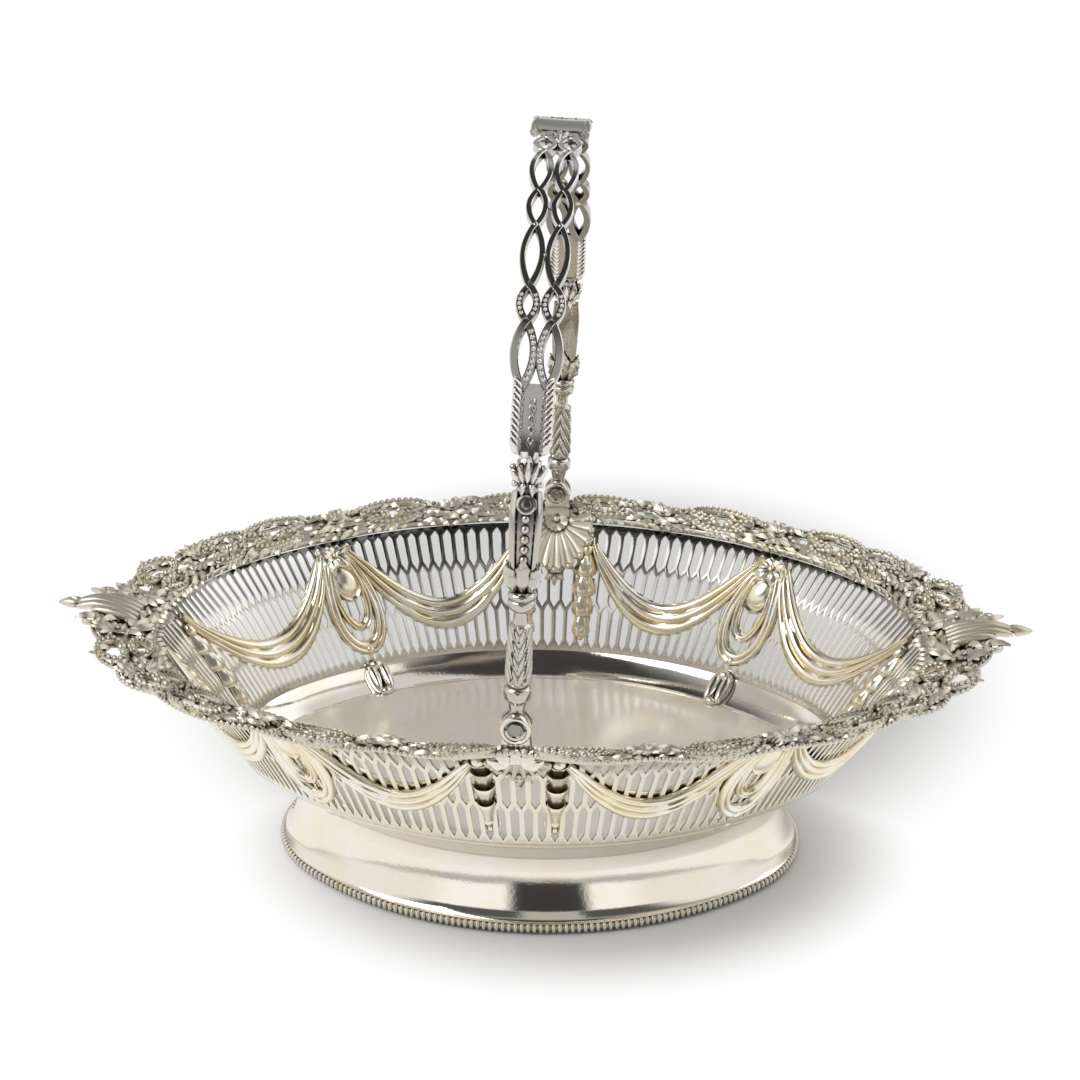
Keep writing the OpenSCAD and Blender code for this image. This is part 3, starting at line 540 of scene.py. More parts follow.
def wall_cell(tip):
    """Long hexagon, pointed at both ends, with its slot open: 1 across and millimetres up."""
    deselect()
    bpy.ops.mesh.primitive_circle_add(vertices=6, radius=1, fill_type="NGON")
    cell = named("wall_cell")
    bpy.ops.object.mode_set(mode="EDIT")
    bpy.ops.mesh.select_all(action="SELECT")
    bpy.ops.mesh.inset(thickness=0.3)
    bpy.ops.mesh.delete(type="FACE")
    bpy.ops.object.mode_set(mode="OBJECT")
    co = points(cell)
    outer = np.hypot(co[:, 0], co[:, 1]) > 0.9
    point = np.abs(co[:, 0]) < 0.2
    half = np.where(outer, 0.5, 0.5 - SLOT_BAR / SLOT_PITCH / 2)
    shoulder = np.where(outer, (ROW_PITCH - tip) / 2, SLOT_LEN / 2 - SLOT_TIP)
    reach = np.where(outer, (ROW_PITCH + tip) / 2, SLOT_LEN / 2)
    x = np.where(point, 0, np.sign(co[:, 0]) * half)
    y = np.sign(co[:, 1]) * np.where(point, reach, shoulder)
    return put(cell, np.stack([x, y, np.zeros_like(x)], 1))


def mark_inside(net):
    """Marks the points that face the middle of the basket, for the painted shade on the wall's inner face."""
    facing = np.empty(len(net.data.vertices) * 3)
    net.data.vertices.foreach_get("normal", facing)
    inward = (facing.reshape(-1, 3)[:, :2] * points(net)[:, :2]).sum(1) < 0
    marks = net.data.attributes.new("inward", "FLOAT", "POINT")
    marks.data.foreach_set("value", inward.astype(np.float32))


def pierced_wall():
    """Net of slotted cells with plain hems, bent round the oval and up the slope."""
    tip = SLOT_TIP / (SLOT_PITCH - SLOT_BAR) * SLOT_PITCH
    cell = wall_cell(tip)
    columns = 4 * QUARTER_COLUMNS
    edge_up = WALL_SLOPE - 0.05

    def repeat(obj):
        return modify(obj, "ARRAY", count=columns, use_relative_offset=False, use_constant_offset=True,
                      constant_offset_displace=(1, 0, 0))

    rows = []
    for row in range(SLOT_ROWS):
        line = copy_of(cell, f"wall_row_{row}")
        shift = 0.5 if row % 2 == 0 else 0.0
        put(line, points(line) + np.array([shift, SLOT_MARGIN + SLOT_LEN / 2 + row * ROW_PITCH, 0]))
        rows.append(repeat(line))
    low = SLOT_MARGIN + SLOT_LEN / 2 - (ROW_PITCH - tip) / 2
    for edge, valley, name in ((0, low, "low"), (edge_up, WALL_SLOPE - low, "high")):
        deselect()
        bpy.ops.mesh.primitive_circle_add(vertices=3, radius=1, fill_type="NGON")
        hem = named(f"wall_hem_{name}")
        put(hem, [(-0.5, edge, 0), (0.5, edge, 0), (0, valley, 0)])
        rows.append(repeat(hem))
    remove(cell)
    net = join("pierced_wall", rows)
    co = points(net)
    up = np.clip(co[:, 1], 0, edge_up)
    put(net, on_wall(column_angle(np.mod(co[:, 0], columns)), up, np.full(len(co), WALL_T / 2)))
    weld(net, 0.02)
    modify(net, "SOLIDIFY", thickness=WALL_T, offset=0)
    modify(net, "BEVEL", width=0.28, segments=2, limit_method="ANGLE", angle_limit=math.radians(50))
    mark_inside(net)
    nodes = [f"wall_{part}_{a}_{b}" for part in ("side", "end") for a, b in QUARTERS]
    return piece(smooth(net, 35), "basket", "sheet_silver", WALL, *nodes)


# Ornament shapes, flat, in millimetres: x along, y up or out, z raised

SUNK = 0.15


def cap(obj):
    """Closes open ends and turns all faces outwards."""
    pick(obj)
    bpy.ops.object.mode_set(mode="EDIT")
    bpy.ops.mesh.select_all(action="SELECT")
    bpy.ops.mesh.fill_holes(sides=0)
    bpy.ops.mesh.normals_make_consistent(inside=False)
    bpy.ops.object.mode_set(mode="OBJECT")
    return obj


def flip(obj):
    """Turns a mesh's faces round."""
    pick(obj)
    bpy.ops.object.mode_set(mode="EDIT")
    bpy.ops.mesh.select_all(action="SELECT")
    bpy.ops.mesh.flip_normals()
    bpy.ops.object.mode_set(mode="OBJECT")
    return obj


def rod(wide, high, count=8, lift=0.0):
    """Round or oval section."""
    turns = [TAU * i / count for i in range(count)]
    return [(wide * math.cos(q), lift + high * math.sin(q)) for q in turns]


def sweep(name, path, section, taper=None):
    """Runs a closed section along a flat path."""
    path = np.asarray(path, float)
    section = np.asarray(list(section) + [section[0]], float)
    n, m = len(path) - 1, len(section) - 1
    lead = np.gradient(path[:, :2], axis=0)
    side = np.stack([-lead[:, 1], lead[:, 0]], 1) / np.linalg.norm(lead, axis=1)[:, None]
    size = np.ones(n + 1) if taper is None else np.asarray(taper, float)
    made = sheet(name, n, m)
    i, k = grid_index(made, n, m)
    flat = path[i, :2] + side[i] * (section[k, 0] * size[i])[:, None]
    raised = section[k, 1] * size[i] + (path[i, 2] if path.shape[1] > 2 else 0)
    put(made, np.column_stack([flat, raised]))
    return cap(weld(made))


def drape(name, path, widths, strands, relief):
    """Cloth gathered into round strands along a flat path, flat behind."""
    path = np.asarray(path, float)
    n, across = len(path) - 1, strands * 5
    lead = np.gradient(path, axis=0)
    side = np.stack([-lead[:, 1], lead[:, 0]], 1) / np.linalg.norm(lead, axis=1)[:, None]
    made = sheet(name, n, across + 3)
    i, k = grid_index(made, n, across + 3)
    k = np.where(k == across + 3, 0, k)
    top = k <= across
    x = np.where(top, -1 + 2 * k / across, np.where(k == across + 1, 1, -1))
    slide = 0.16 * np.sin(TAU * i / n + 0.8)
    fold = np.mod((x + 1) / 2 * strands + slide * (1 - x * x) * strands / 2, 1)
    ridge = np.sqrt(np.clip(1 - (2 * fold - 1) ** 2, 0, 1))
    full = np.asarray(widths, float)[i]
    swell = (0.3 + 0.7 * ridge) * (1 - 0.35 * x * x) * (0.55 + 0.45 * full / full.max())
    z = np.where(top, relief * swell, -SUNK)
    flat = path[i] + side[i] * (x * full)[:, None]
    put(made, np.column_stack([flat, z]))
    return cap(weld(made))


def leaf(name, length, width, teeth=2.5, curl=1.3):
    """Toothed leaf with a raised midrib and a curling tip, lying along x."""
    made = sheet(name, 6, 4)
    u, v = points(made)[:, 0], 2 * points(made)[:, 1] - 1
    toothed = 1 + 0.2 * np.cos(TAU * teeth * u)
    half = width / 2 * np.sin(math.pi * (0.06 + 0.94 * u ** 0.8)) ** 0.75 * toothed
    midrib = 0.7 * (1 - np.abs(v))
    z = 0.3 + curl * np.sin(math.pi * 0.9 * u) + midrib - 0.75 * v * v * np.sin(math.pi * u)
    put(made, np.column_stack([length * u, half * v, z]))
    modify(made, "SOLIDIFY", thickness=0.6, offset=-1)
    return weld(made)


def flower(name, radius, petals=6):
    """Open flower of cupped petals round a bead."""
    petal = sheet("petal", 3, 2)
    u, v = points(petal)[:, 0], 2 * points(petal)[:, 1] - 1
    r = radius * (0.18 + 0.82 * u)
    half = radius * 0.4 * np.sin(math.pi * (0.14 + 0.66 * u)) ** 0.6
    put(petal, np.column_stack([r, half * v, 0.5 + radius * 0.2 * u - radius * 0.13 * v * v]))
    modify(petal, "SOLIDIFY", thickness=0.55, offset=-1)
    weld(petal)
    turns = [TAU * i / petals for i in range(petals)]
    ring = set_out(petal, "petals", [spin_at(q) for q in turns])
    heart = ball("heart", 1)
    put(heart, points(heart) * np.array([0.3, 0.3, 0.26]) * radius + np.array([0, 0, radius * 0.3]))
    remove(petal)
    return join(name, [ring, heart])


def spin_at(angle, x=0.0, y=0.0, z=0.0, scale=1.0, tilt=0.0):
    """Place that turns a flat shape, scales it, lifts its far end and moves it."""
    c, s = math.cos(angle) * scale, math.sin(angle) * scale
    return lambda co: np.column_stack([co[:, 0] * c - co[:, 1] * s + x, co[:, 0] * s + co[:, 1] * c + y,
                                       (co[:, 2] + tilt * co[:, 0]) * scale + z])


def ball_at(x, y, z, r, flat=1.0):
    """Place that scales a ball and moves it."""
    return lambda co: co * np.array([r, r, r * flat]) + np.array([x, y, z])


def bead_row(name, path, r, spacing, lift):
    """Small round beads along a flat path."""
    path = np.asarray(path, float)
    run = np.concatenate([[0], np.cumsum(np.linalg.norm(np.diff(path[:, :2], axis=0), axis=1))])
    stops = np.arange(r, run[-1] - r / 2, spacing)
    bead = ball("row_bead", 1)
    x, y = (np.interp(stops, run, path[:, axis]) for axis in (0, 1))
    row = set_out(bead, name, [ball_at(*place, lift, r) for place in zip(x, y)])
    remove(bead)
    return row


BELL = ((0, 0.34), (0.15, 0.52), (0.3, 0.7), (0.5, 0.88), (0.72, 1.0), (0.88, 0.95), (1.0, 0.7))
CUP = ((0.34, 0.4), (0.08, 0.78), (0, 0.94), (0.05, 1.0), (0.3, 0.9), (0.62, 0.68), (1.0, 0.42))


def husk(name, length, wide, deep, shape):
    """Half-round fluted husk hanging down from the origin: a bell, or a cup with its hollow upwards."""
    shape = np.array(shape)
    turns, flutes = 12, 3
    made = sheet(name, len(shape) - 1, turns + 3)
    i, k = grid_index(made, len(shape) - 1, turns + 3)
    k = np.where(k == turns + 3, 0, k)
    top = k <= turns
    q = np.where(top, math.pi * k / turns, np.where(k == turns + 1, math.pi, 0))
    down, swell = shape[i].T
    swell = swell * (1 - 0.2 * np.abs(np.sin(q * flutes)) * np.sin(math.pi * np.clip(down, 0, 1)))
    z = np.where(top, deep * swell * np.sin(q), -SUNK)
    put(made, np.column_stack([wide * swell * np.cos(q), -length * down, z]))
    return cap(weld(made))


# Places on the wall

WALL_RUN_R = (WALL_END_R + WALL_FLARE / 2, WALL_SIDE_R + WALL_FLARE / 2)


def run_angle(run, radii=WALL_RUN_R):
    """Normal angle at a distance along the oval from the right-hand end."""
    run = np.asarray(run, float)
    turn = radii[0] * math.pi / 4
    return np.where(run < turn, run / radii[0], math.pi / 4 + (run - turn) / radii[1])


def angle_run(degrees, radii=WALL_RUN_R):
    """Distance along the oval at a normal angle."""
    angle = math.radians(degrees)
    turn = math.pi / 4
    return radii[0] * angle if angle < turn else radii[0] * turn + radii[1] * (angle - turn)


def slope_up(z):
    """Distance up the wall's slope at a height."""
    return (z - WALL_Z) / math.cos(WALL_LEAN)


def mirrored(obj, name, end, side):
    """Copy in another quarter; the first is at the back on the right."""
    signs = np.array([-1 if side == "left" else 1, -1 if end == "front" else 1, 1])
    made = put(copy_of(obj, name), points(obj) * signs)
    return flip(made) if signs.prod() < 0 else made


def on_faces(outside, inside):
    """Lays flat ornament on the wall's outer face and on its inner face."""
    def laid_on(flat, side, sign):
        run, up, high = points(flat).T
        return put(flat, on_wall(run_angle(run), up, side + sign * high))

    return join("both_faces", [laid_on(outside, WALL_T, 1), flip(laid_on(inside, 0, -1))])


def on_both_faces(flat):
    """Lays the same flat ornament on both faces of the wall."""
    return on_faces(flat, copy_of(flat, "inner_face"))


def in_quarters(model, name, node, slot, finish, angle=50):
    """Makes a piece for each quarter of the basket and removes the model."""
    for end, side in QUARTERS:
        made = mirrored(model, f"{name}_{end}_{side}", end, side)
        piece(smooth(made, angle), "basket", slot, finish, f"{node}_{end}_{side}")
    remove(model)


MEDALLION_DEG = 59
FAN_OFF = 14.5
FAN_Z = 84.6
KNOT_OFF = 4
TASSEL_OFF = 12.0
HUSK_COUNT = 4
HUSK_LEN = 8.8
HUSK_LAP = 0.82
MEDALLION_RUN = angle_run(MEDALLION_DEG)
SIDE_RUN = angle_run(90)


def swag(node, start, end, low):
    """Gathered cloth between two hanging points, each (run, height up the slope)."""
    t = np.linspace(0, 1, 49)
    run = start[0] + (end[0] - start[0]) * t
    bow = 4 * t * (1 - t)
    line = start[1] + (end[1] - start[1]) * t
    middle = (start[1] + end[1]) / 2 - low
    path = np.column_stack([run, line - middle * bow ** 0.92])
    outside = drape("cloth", path, 1.1 + 3.1 * bow ** 0.9, 3, 2.6)
    inside = drape("inner_cloth", path, 1.3 + 4.4 * bow ** 0.9, 3, 3.2)
    in_quarters(on_faces(outside, inside), f"{node}_cloth", node, "gilt_drapery", GILT)


def medallion():
    """Oval boss hung from a knot, inside two loops of gathered cloth."""
    top, low, mid = 42.0, 6.5, MEDALLION_RUN
    parts = []
    for half_w, bottom, width in ((11.6, low, 2.5), (7.2, low + 7.5, 1.5)):
        t = np.linspace(0, 1, 61)
        c, s = np.cos(TAU * t), np.sin(TAU * t)
        high = (top + bottom) / 2 + (top - bottom) / 2 * c
        path = np.column_stack([mid + half_w * s * (0.75 - 0.25 * c), high])
        parts.append(drape("loop", path, width * (0.6 + 0.4 * np.sin(math.pi * t)), 2, 2.2))
    boss = sheet("boss", 24, 8)
    u, v = points(boss)[:, 0], points(boss)[:, 1]
    field = 0.75
    rim = 1.1 + 0.5 * np.sin((v - field) * 4 * math.pi)
    swell = 0.9 + 1.4 * np.cos(np.minimum(v / field, 1) * math.pi / 2) ** 0.7
    rise = np.where(v > 0.99, -0.1, np.where(v > field, rim, swell))
    put(boss, np.column_stack([mid + 5.9 * v * np.cos(u * TAU), 30 + 7.2 * v * np.sin(u * TAU), rise * 1.1]))
    parts.append(cap(weld(boss)))
    frond, knot, tie = leaf("frond", 7.5, 4.2), flower("knot", 3.6), ball("tie", 2)
    places = [spin_at(math.radians(a), mid, top - 2.5, 0.6) for a in (-155, -125, -55, -25, 25, 155)]
    parts.append(set_out(frond, "fronds", places))
    put(knot, spin_at(0, mid, top - 2.5, 1.4)(points(knot)))
    put(tie, ball_at(mid, low - 0.8, 0.9, 1.8)(points(tie)))
    remove(frond)
    model = on_both_faces(join("medallion", parts + [knot, tie]))
    in_quarters(model, "medallion_loops", "medallion", "gilt_drapery", GILT)


def husks(run, top, wide, shape):
    """Husks, one below the other, under a round knot."""
    parts = []
    for i in range(HUSK_COUNT):
        half = wide + 0.9 * math.sin(math.pi * (i + 0.7) / HUSK_COUNT)
        bell = husk(f"bell_{i}", HUSK_LEN, half, 3.2, shape)
        parts.append(put(bell, points(bell) + np.array([run, top - 2.2 - i * HUSK_LEN * HUSK_LAP, 0.15 * i])))
    knot, tip = ball("knot", 2), ball("tip", 2)
    put(knot, ball_at(run, top - 1.6, 0.9, 2.2)(points(knot)))
    low = top - 2.6 - (HUSK_LAP * HUSK_COUNT + 0.16) * HUSK_LEN
    put(tip, ball_at(run, low, 0.6, 1.6)(points(tip)))
    return join("husks", parts + [knot, tip])


def tassel(node, run, outer_top, inner_top):
    """Hanging husks: cups outside, wider bells inside."""
    model = on_faces(husks(run, outer_top, 3.0, CUP), husks(run, inner_top, 3.9, BELL))
    in_quarters(model, f"{node}_husks", node, "gilt_drapery", HUSK)


def drop():
    """Split pod lying on the corner of the floor under a medallion."""
    length = 14.5
    pod = ball("pod", 3)
    x, y, z = points(pod).T
    swell = 2.7 * x * (1 + 0.25 * y)
    shapes = [(s * 2.6 + swell, 7.4 * y - 7.6, 0.6 + 3.2 * z) for s in (-1, 1)]
    shapes.append((3.4 * x, 2.6 * y - 1.6, 0.6 + 2.9 * z))
    shapes.append((2.7 * x, 2.0 * y - length, 0.6 + 2.3 * z))
    lobes = [put(copy_of(pod, f"pod_{i}"), np.column_stack(shape)) for i, shape in enumerate(shapes)]
    remove(pod)
    model = join("drop", lobes)
    x, y, z = points(model).T
    fall = math.atan2(WALL_Z - FLOOR_Z, CORNER_RUN)
    down = -y - 0.5
    lift = z - 0.7 * np.sin(math.pi * np.clip(down / length, 0, 1)) + 0.15
    off = -down * math.cos(fall) - lift * math.sin(fall)
    angle = math.radians(MEDALLION_DEG)
    px, py = oval(angle, off)
    put(model, np.column_stack([px - x * math.sin(angle), py + x * math.cos(angle),
                                WALL_Z + 0.4 - down * math.sin(fall) + lift * math.cos(fall)]))
    in_quarters(weld(model), "drop_husk", "drop", "sheet_silver", EAR)


def fan(radius, fall):
    """Fan shell of narrow hollow petals, the lower ones longer by the fall."""
    petals, spread, root = 11, math.radians(204), 2.5
    middle = (SIDE_RUN, slope_up(FAN_Z) + 0.8 * fall)
    gap = spread / petals
    turns = [-math.pi / 2 - spread / 2 + gap * (i + 0.5) for i in range(petals)]
    lengths = [radius + fall * max(0.0, -math.sin(q)) ** 2 for q in turns]
    parts = []
    for i, (q, length) in enumerate(zip(turns, lengths)):
        petal = sheet(f"fan_petal_{i}", 8, 6)
        u, v = points(petal)[:, 0], 2 * points(petal)[:, 1] - 1
        r = root + (length - root) * (u - 0.10 * v * v * u)
        half = np.tan(gap / 2) * r * (0.96 - 0.1 * u)
        lip = 2.2 * np.clip(u - 0.8, 0, 1) * (1 - v * v)
        z = 0.9 + 1.2 * u + (0.95 * v * v - 0.1) * (0.4 + u) + lip
        put(petal, spin_at(q, *middle)(np.column_stack([r, half * v, z])))
        modify(petal, "SOLIDIFY", thickness=0.9, offset=-1)
        parts.append(weld(petal))
    boss = flower("fan_boss", 0.31 * radius, 8)
    tip, drop_leaf = ball("fan_tip", 1), leaf("fan_drop", 4.6, 2.6)
    put(boss, spin_at(0.2, *middle, 1.6)(points(boss)))
    places = []
    for q, length in zip(turns, lengths):
        r = length - 0.4
        x, y = middle[0] + r * math.cos(q), middle[1] + r * math.sin(q)
        places.append(ball_at(x, y, 2.2, 0.085 * radius + 0.3))
    tips = set_out(tip, "fan_tips", places)
    low = middle[1] - radius - fall - 1.0
    places = [spin_at(math.radians(a), middle[0], low, 0.3) for a in (-150, -90, -30)]
    drops = set_out(drop_leaf, "fan_drops", places)
    remove(tip, drop_leaf)
    return join("fan", parts + [boss, tips, drops])


def hinge_fan():
    """Fan shells below each hinge, short outside and long inside."""
    model = on_faces(fan(9.6, 0.6), fan(13.6, 4.6))
    for end in ("front", "back"):
        made = mirrored(model, f"hinge_fan_petals_{end}", end, "right")
        piece(smooth(made, 50), "basket", "gilt_drapery", CAST, f"hinge_fan_{end}")
    remove(model)


# Cast border

BORDER_MIDDLE = 14
BORDER_SPLIT_DEG = 30
BORDER_RUN_R = (WALL_END_R + WALL_FLARE + BORDER_MIDDLE, WALL_SIDE_R + WALL_FLARE + BORDER_MIDDLE)
BORDER_SPLIT = angle_run(BORDER_SPLIT_DEG, BORDER_RUN_R)
BORDER_LAST = angle_run(90, BORDER_RUN_R)
SIDE_REACH = 119.6
END_REACH = 189.8
OVERHANG = (-0.35, 1.12)
SIDE_LOBE = 12.5
END_LOBE = 8.5
END_LOBES = ((10, "leaf"), (22, "scroll"))
SIDE_LOBES = ((35, "leaf"), (43, "scroll"), (51, "scroll"), (59.5, "leaf"), (67.5, "scroll"), (75.5, "leaf"),
              (83.5, "scroll"))


def border_rim(angle):
    """Inner edge of the border, on the wall's top."""
    x, y = oval(angle, WALL_FLARE - BORDER_LIP)
    return np.stack([x * (1 + WALL_STRETCH), y])


def border_edge(angle):
    """Outer edge of the border with its lobes."""
    lobe = LOBE_DEPTH * np.abs(np.sin(2 * LOBE_COUNT * angle))
    reach = BORDER_SIDE_W + BORDER_END_EXTRA * np.abs(np.cos(angle)) + lobe
    return np.stack(oval(angle, WALL_FLARE - BORDER_LIP + reach))


def width_at(run):
    """Width of the border at a distance along it."""
    angle = run_angle(run, BORDER_RUN_R)
    return np.linalg.norm(border_edge(angle) - border_rim(angle), axis=0)


def border_height(angle, share):
    """Height of the border's ground, rising less towards the ends."""
    rise = BORDER_Z - BORDER_FALL * np.abs(np.cos(angle)) ** 0.8 - WALL_TOP_Z - BORDER_T
    return WALL_TOP_Z + BORDER_T + rise * share


def on_border(flat):
    """Lays flat ornament (along, out, raised) on the border's rising slope."""
    run, out, high = points(flat).T
    angle = run_angle(run, BORDER_RUN_R)
    start = border_start(angle)
    share = start + (1 - start) * np.clip(out / width_at(run), *OVERHANG)
    x, y = border_rim(angle) * (1 - share) + border_edge(angle) * share
    z = border_height(angle, share) + high
    x, y = np.clip(x, -END_REACH, END_REACH), np.minimum(y, SIDE_REACH)
    return flip(put(flat, np.column_stack([x, y, z])))


def cut(obj, inside):
    """Deletes the faces whose middles lie inside."""
    pick(obj)
    bpy.context.tool_settings.mesh_select_mode = (False, False, True)
    middles = np.empty(len(obj.data.polygons) * 3)
    obj.data.polygons.foreach_get("center", middles)
    flags = inside(middles.reshape(-1, 3))
    bpy.ops.object.mode_set(mode="EDIT")
    bpy.ops.mesh.select_all(action="DESELECT")
    bpy.ops.object.mode_set(mode="OBJECT")
    obj.data.polygons.foreach_set("select", flags)
    bpy.ops.object.mode_set(mode="EDIT")
    bpy.ops.mesh.delete(type="FACE")
    bpy.ops.object.mode_set(mode="OBJECT")
    bpy.context.tool_settings.mesh_select_mode = (True, False, False)
    return obj


def in_holes(run, out, holes, grow=0.0):
    """Whether points lie in any of the oval holes, grown by a margin."""
    inside = np.zeros(np.shape(run), bool)
    for mid_run, mid_out, half_run, half_out in holes:
        along, across = (run - mid_run) / (half_run + grow), (out - mid_out) / (half_out + grow)
        inside |= along ** 2 + across ** 2 < 1
    return inside


def border_web(name, first, last, holes):
    """Thin cast ground of the border with its piercings."""
    web = sheet(name, round((last - first) / 1.5), 20)
    u, v = points(web)[:, 0], points(web)[:, 1]
    run = first + (last - first) * u
    put(web, np.column_stack([run, width_at(run) * v * 0.9, np.zeros(len(u))]))
    cut(web, lambda mid: in_holes(mid[:, 0], mid[:, 1], holes))
    modify(web, "SOLIDIFY", thickness=1.1, offset=-1)
    modify(web, "SUBSURF", levels=1)
    return web


def scroll(name, run, out, half_run, half_out, turn=1):
    """C-shaped rope of beads with curled ends, open towards the wall or away from it."""
    q = np.radians(np.linspace(-62, 242, 45))
    curl = 1 - 0.42 * np.clip((np.abs(np.degrees(q) - 90) - 95) / 57, 0, 1)
    path = np.column_stack([run + half_run * np.cos(q) * curl, out + turn * half_out * np.sin(q) * curl])
    bar = sweep(f"{name}_bar", path, rod(1.45, 1.6, 8, 0.9))
    beads = bead_row(f"{name}_beads", path, 1.25, 2.45, 2.5)
    tips = ball("curl", 2)
    eyes = set_out(tips, f"{name}_eyes", [ball_at(*path[i], 1.3, 2.15) for i in (0, -1)])
    remove(tips)
    return [bar, beads, eyes]


def spray(pattern, name, run, out, lengths, turns, lift=0.4, tilt=0.12):
    """Leaves fanned from one point, at angles in degrees."""
    places = [spin_at(math.radians(a), run, out, lift, s, tilt) for a, s in zip(turns, lengths)]
    return set_out(pattern, name, places)


def scroll_lobe(degrees, run, wide, long, big, small):
    """Two beaded scrolls with leaves at crest and foot, and the piercings in and beside them."""
    deep = wide * 0.27
    parts = scroll(f"scroll_{degrees}", run, wide - deep - 1.2, long, deep)
    parts += scroll(f"inner_scroll_{degrees}", run, deep + 0.6, long * 0.8, deep * 0.8, -1)
    parts.append(spray(big, f"crest_{degrees}", run, wide - 2.6, (0.5, 0.62, 0.5), (35, 90, 145)))
    parts.append(spray(small, f"droop_{degrees}", run, 2.6, (0.8, 0.9, 0.8), (-135, -90, -45), 0.2, -0.15))
    holes = [(run, wide - deep - 1.8, long * 0.66, deep * 0.6), (run, deep * 0.9, long * 0.5, deep * 0.4)]
    holes += [(run + s * (long + 2.4), wide * 0.62, 1.7, 2.6) for s in (-1, 1)]
    return parts, holes


def leaf_lobe(degrees, run, wide, long, big, bloom, berry, rng):
    """Large flower in a fan of leaves, with a small flower at each side and a few berries."""
    middle = wide * 0.60
    parts = [set_out(bloom, f"bloom_{degrees}", [spin_at(0.3, run, middle, 1.1, 0.85)])]
    upper, lower = (50, 78, 112, 140), (-142, -104, -78, -34)
    sizes, turns = rng.uniform(0.8, 1.05, 4), upper + rng.uniform(-9, 9, 4)
    parts.append(spray(big, f"fan_{degrees}", run, wide - 8.4, sizes, turns, 0.7))
    sizes, turns = rng.uniform(0.85, 1.2, 4), lower + rng.uniform(-9, 9, 4)
    parts.append(spray(big, f"foot_{degrees}", run, wide * 0.40, sizes, turns, 0.5))
    blooms = [spin_at(0.9, run + s * long * 0.62, wide * 0.28, 0.8, 0.66) for s in (-1, 1)]
    parts.append(set_out(bloom, f"side_bloom_{degrees}", blooms))
    spots = ((-5.6, 3), (5.6, 3), (-6, -3.4), (6, -3.4), (0, 6.4))
    seeds = [ball_at(run + dx, middle + dy, 2.2, 1.15) for dx, dy in spots]
    parts.append(set_out(berry, f"berries_{degrees}", seeds))
    return parts


def leaf_field(first, last, holes, small, berry, rng):
    """Leaves and berries strewn over a stretch. Adds small piercings between them to the holes."""
    gap, leaves, seeds = 4.7, [], []
    for run in np.arange(first + gap / 2, last, gap):
        wide = float(width_at(run))
        for out in np.arange(2.4, wide - 2.2, gap):
            s = run + rng.uniform(-1.3, 1.3)
            o = out + rng.uniform(-1.1, 1.1)
            turn = rng.choice((0, math.pi)) + rng.uniform(-0.75, 0.75)
            size, kind = rng.uniform(0.85, 1.25), rng.random()
            if in_holes(s, o, holes, 2.0):
                continue
            if kind < 0.2:
                seeds.append(ball_at(s, o, 0.9, 1.4 * size, 0.9))
            else:
                lift, tilt = rng.uniform(-0.3, 0.3), rng.uniform(-0.05, 0.16)
                root = (s - 3 * math.cos(turn), o - 3 * math.sin(turn))
                leaves.append(spin_at(turn, *root, lift, size * 0.92, tilt))
            if kind > 0.66 and 4 < o < wide - 4:
                holes.append((s + 2.2, o + 2.0, 1.5, 1.6))
    return [set_out(small, "field_leaves", leaves), set_out(berry, "field_berries", seeds)]


def edging(first, last, small, rng):
    """Moulding along the inner edge, beads along the rim, and leaf tips along both."""
    edge = np.linspace(first, last, 60)
    parts = [sweep("inner_moulding", np.column_stack([edge, np.full(60, 0.7)]), rod(0.95, 1.0, 8, 0.35))]
    rim = np.linspace(first, last, 160)
    parts.append(bead_row("rim_beads", np.column_stack([rim, width_at(rim) - 0.7]), 1.15, 2.25, 0.1))
    tips = [spin_at(math.radians(-90 + rng.uniform(-28, 28)), s, 1.6, 0.1, rng.uniform(0.6, 0.95))
            for s in np.arange(first + 2.5, last, 5.2)]
    tips += [spin_at(math.radians(90 + rng.uniform(-40, 40)), s, float(width_at(s)) - 5.4, 0.5,
                     rng.uniform(0.7, 0.95), -0.05)
             for s in np.arange(first + 3, last, 6.4)]
    parts.append(set_out(small, "edge_leaves", tips))
    return parts


def border_ornament(first, last, lobes, rng):
    """Scrolls, flowers, leaves and berries of one stretch, and the piercings between them."""
    holes, parts = [], []
    big, small = leaf("big_leaf", 9, 4.6), leaf("small_leaf", 7.2, 3.9, 1.5)
    bloom, berry = flower("bloom", 3.9), ball("berry", 1)
    for degrees, kind in lobes:
        run = angle_run(degrees, BORDER_RUN_R)
        wide = float(width_at(run))
        long = SIDE_LOBE if degrees > 45 else END_LOBE
        if kind == "scroll":
            made, pierced = scroll_lobe(degrees, run, wide, long, big, small)
            parts += made
            holes += pierced
        else:
            parts += leaf_lobe(degrees, run, wide, long, big, bloom, berry, rng)
    parts += leaf_field(first, last, holes, small, berry, rng)
    parts += edging(first, last, small, rng)
    remove(big, small, bloom, berry)
    return parts, holes


def cast_border():
    """The four side lengths and two ends of the pierced border."""
    rng = np.random.default_rng(11)
    stretches = (("end", 0.0, BORDER_SPLIT, END_LOBES), ("side", BORDER_SPLIT, BORDER_LAST, SIDE_LOBES))
    for stretch, first, last, lobes in stretches:
        parts, holes = border_ornament(first, last, lobes, rng)
        model = on_border(join(f"border_{stretch}", [border_web("web", first, last, holes)] + parts))
        if stretch == "side":
            in_quarters(model, "cast_border", "border", "cast_border", CAST, 45)
            continue
        for side in ("left", "right"):
            halves = [mirrored(model, "half", end, side) for end in ("front", "back")]
            both = join(f"cast_border_end_{side}", halves)
            piece(smooth(both, 45), "basket", "cast_border", CAST, f"border_end_{side}")
        remove(model)


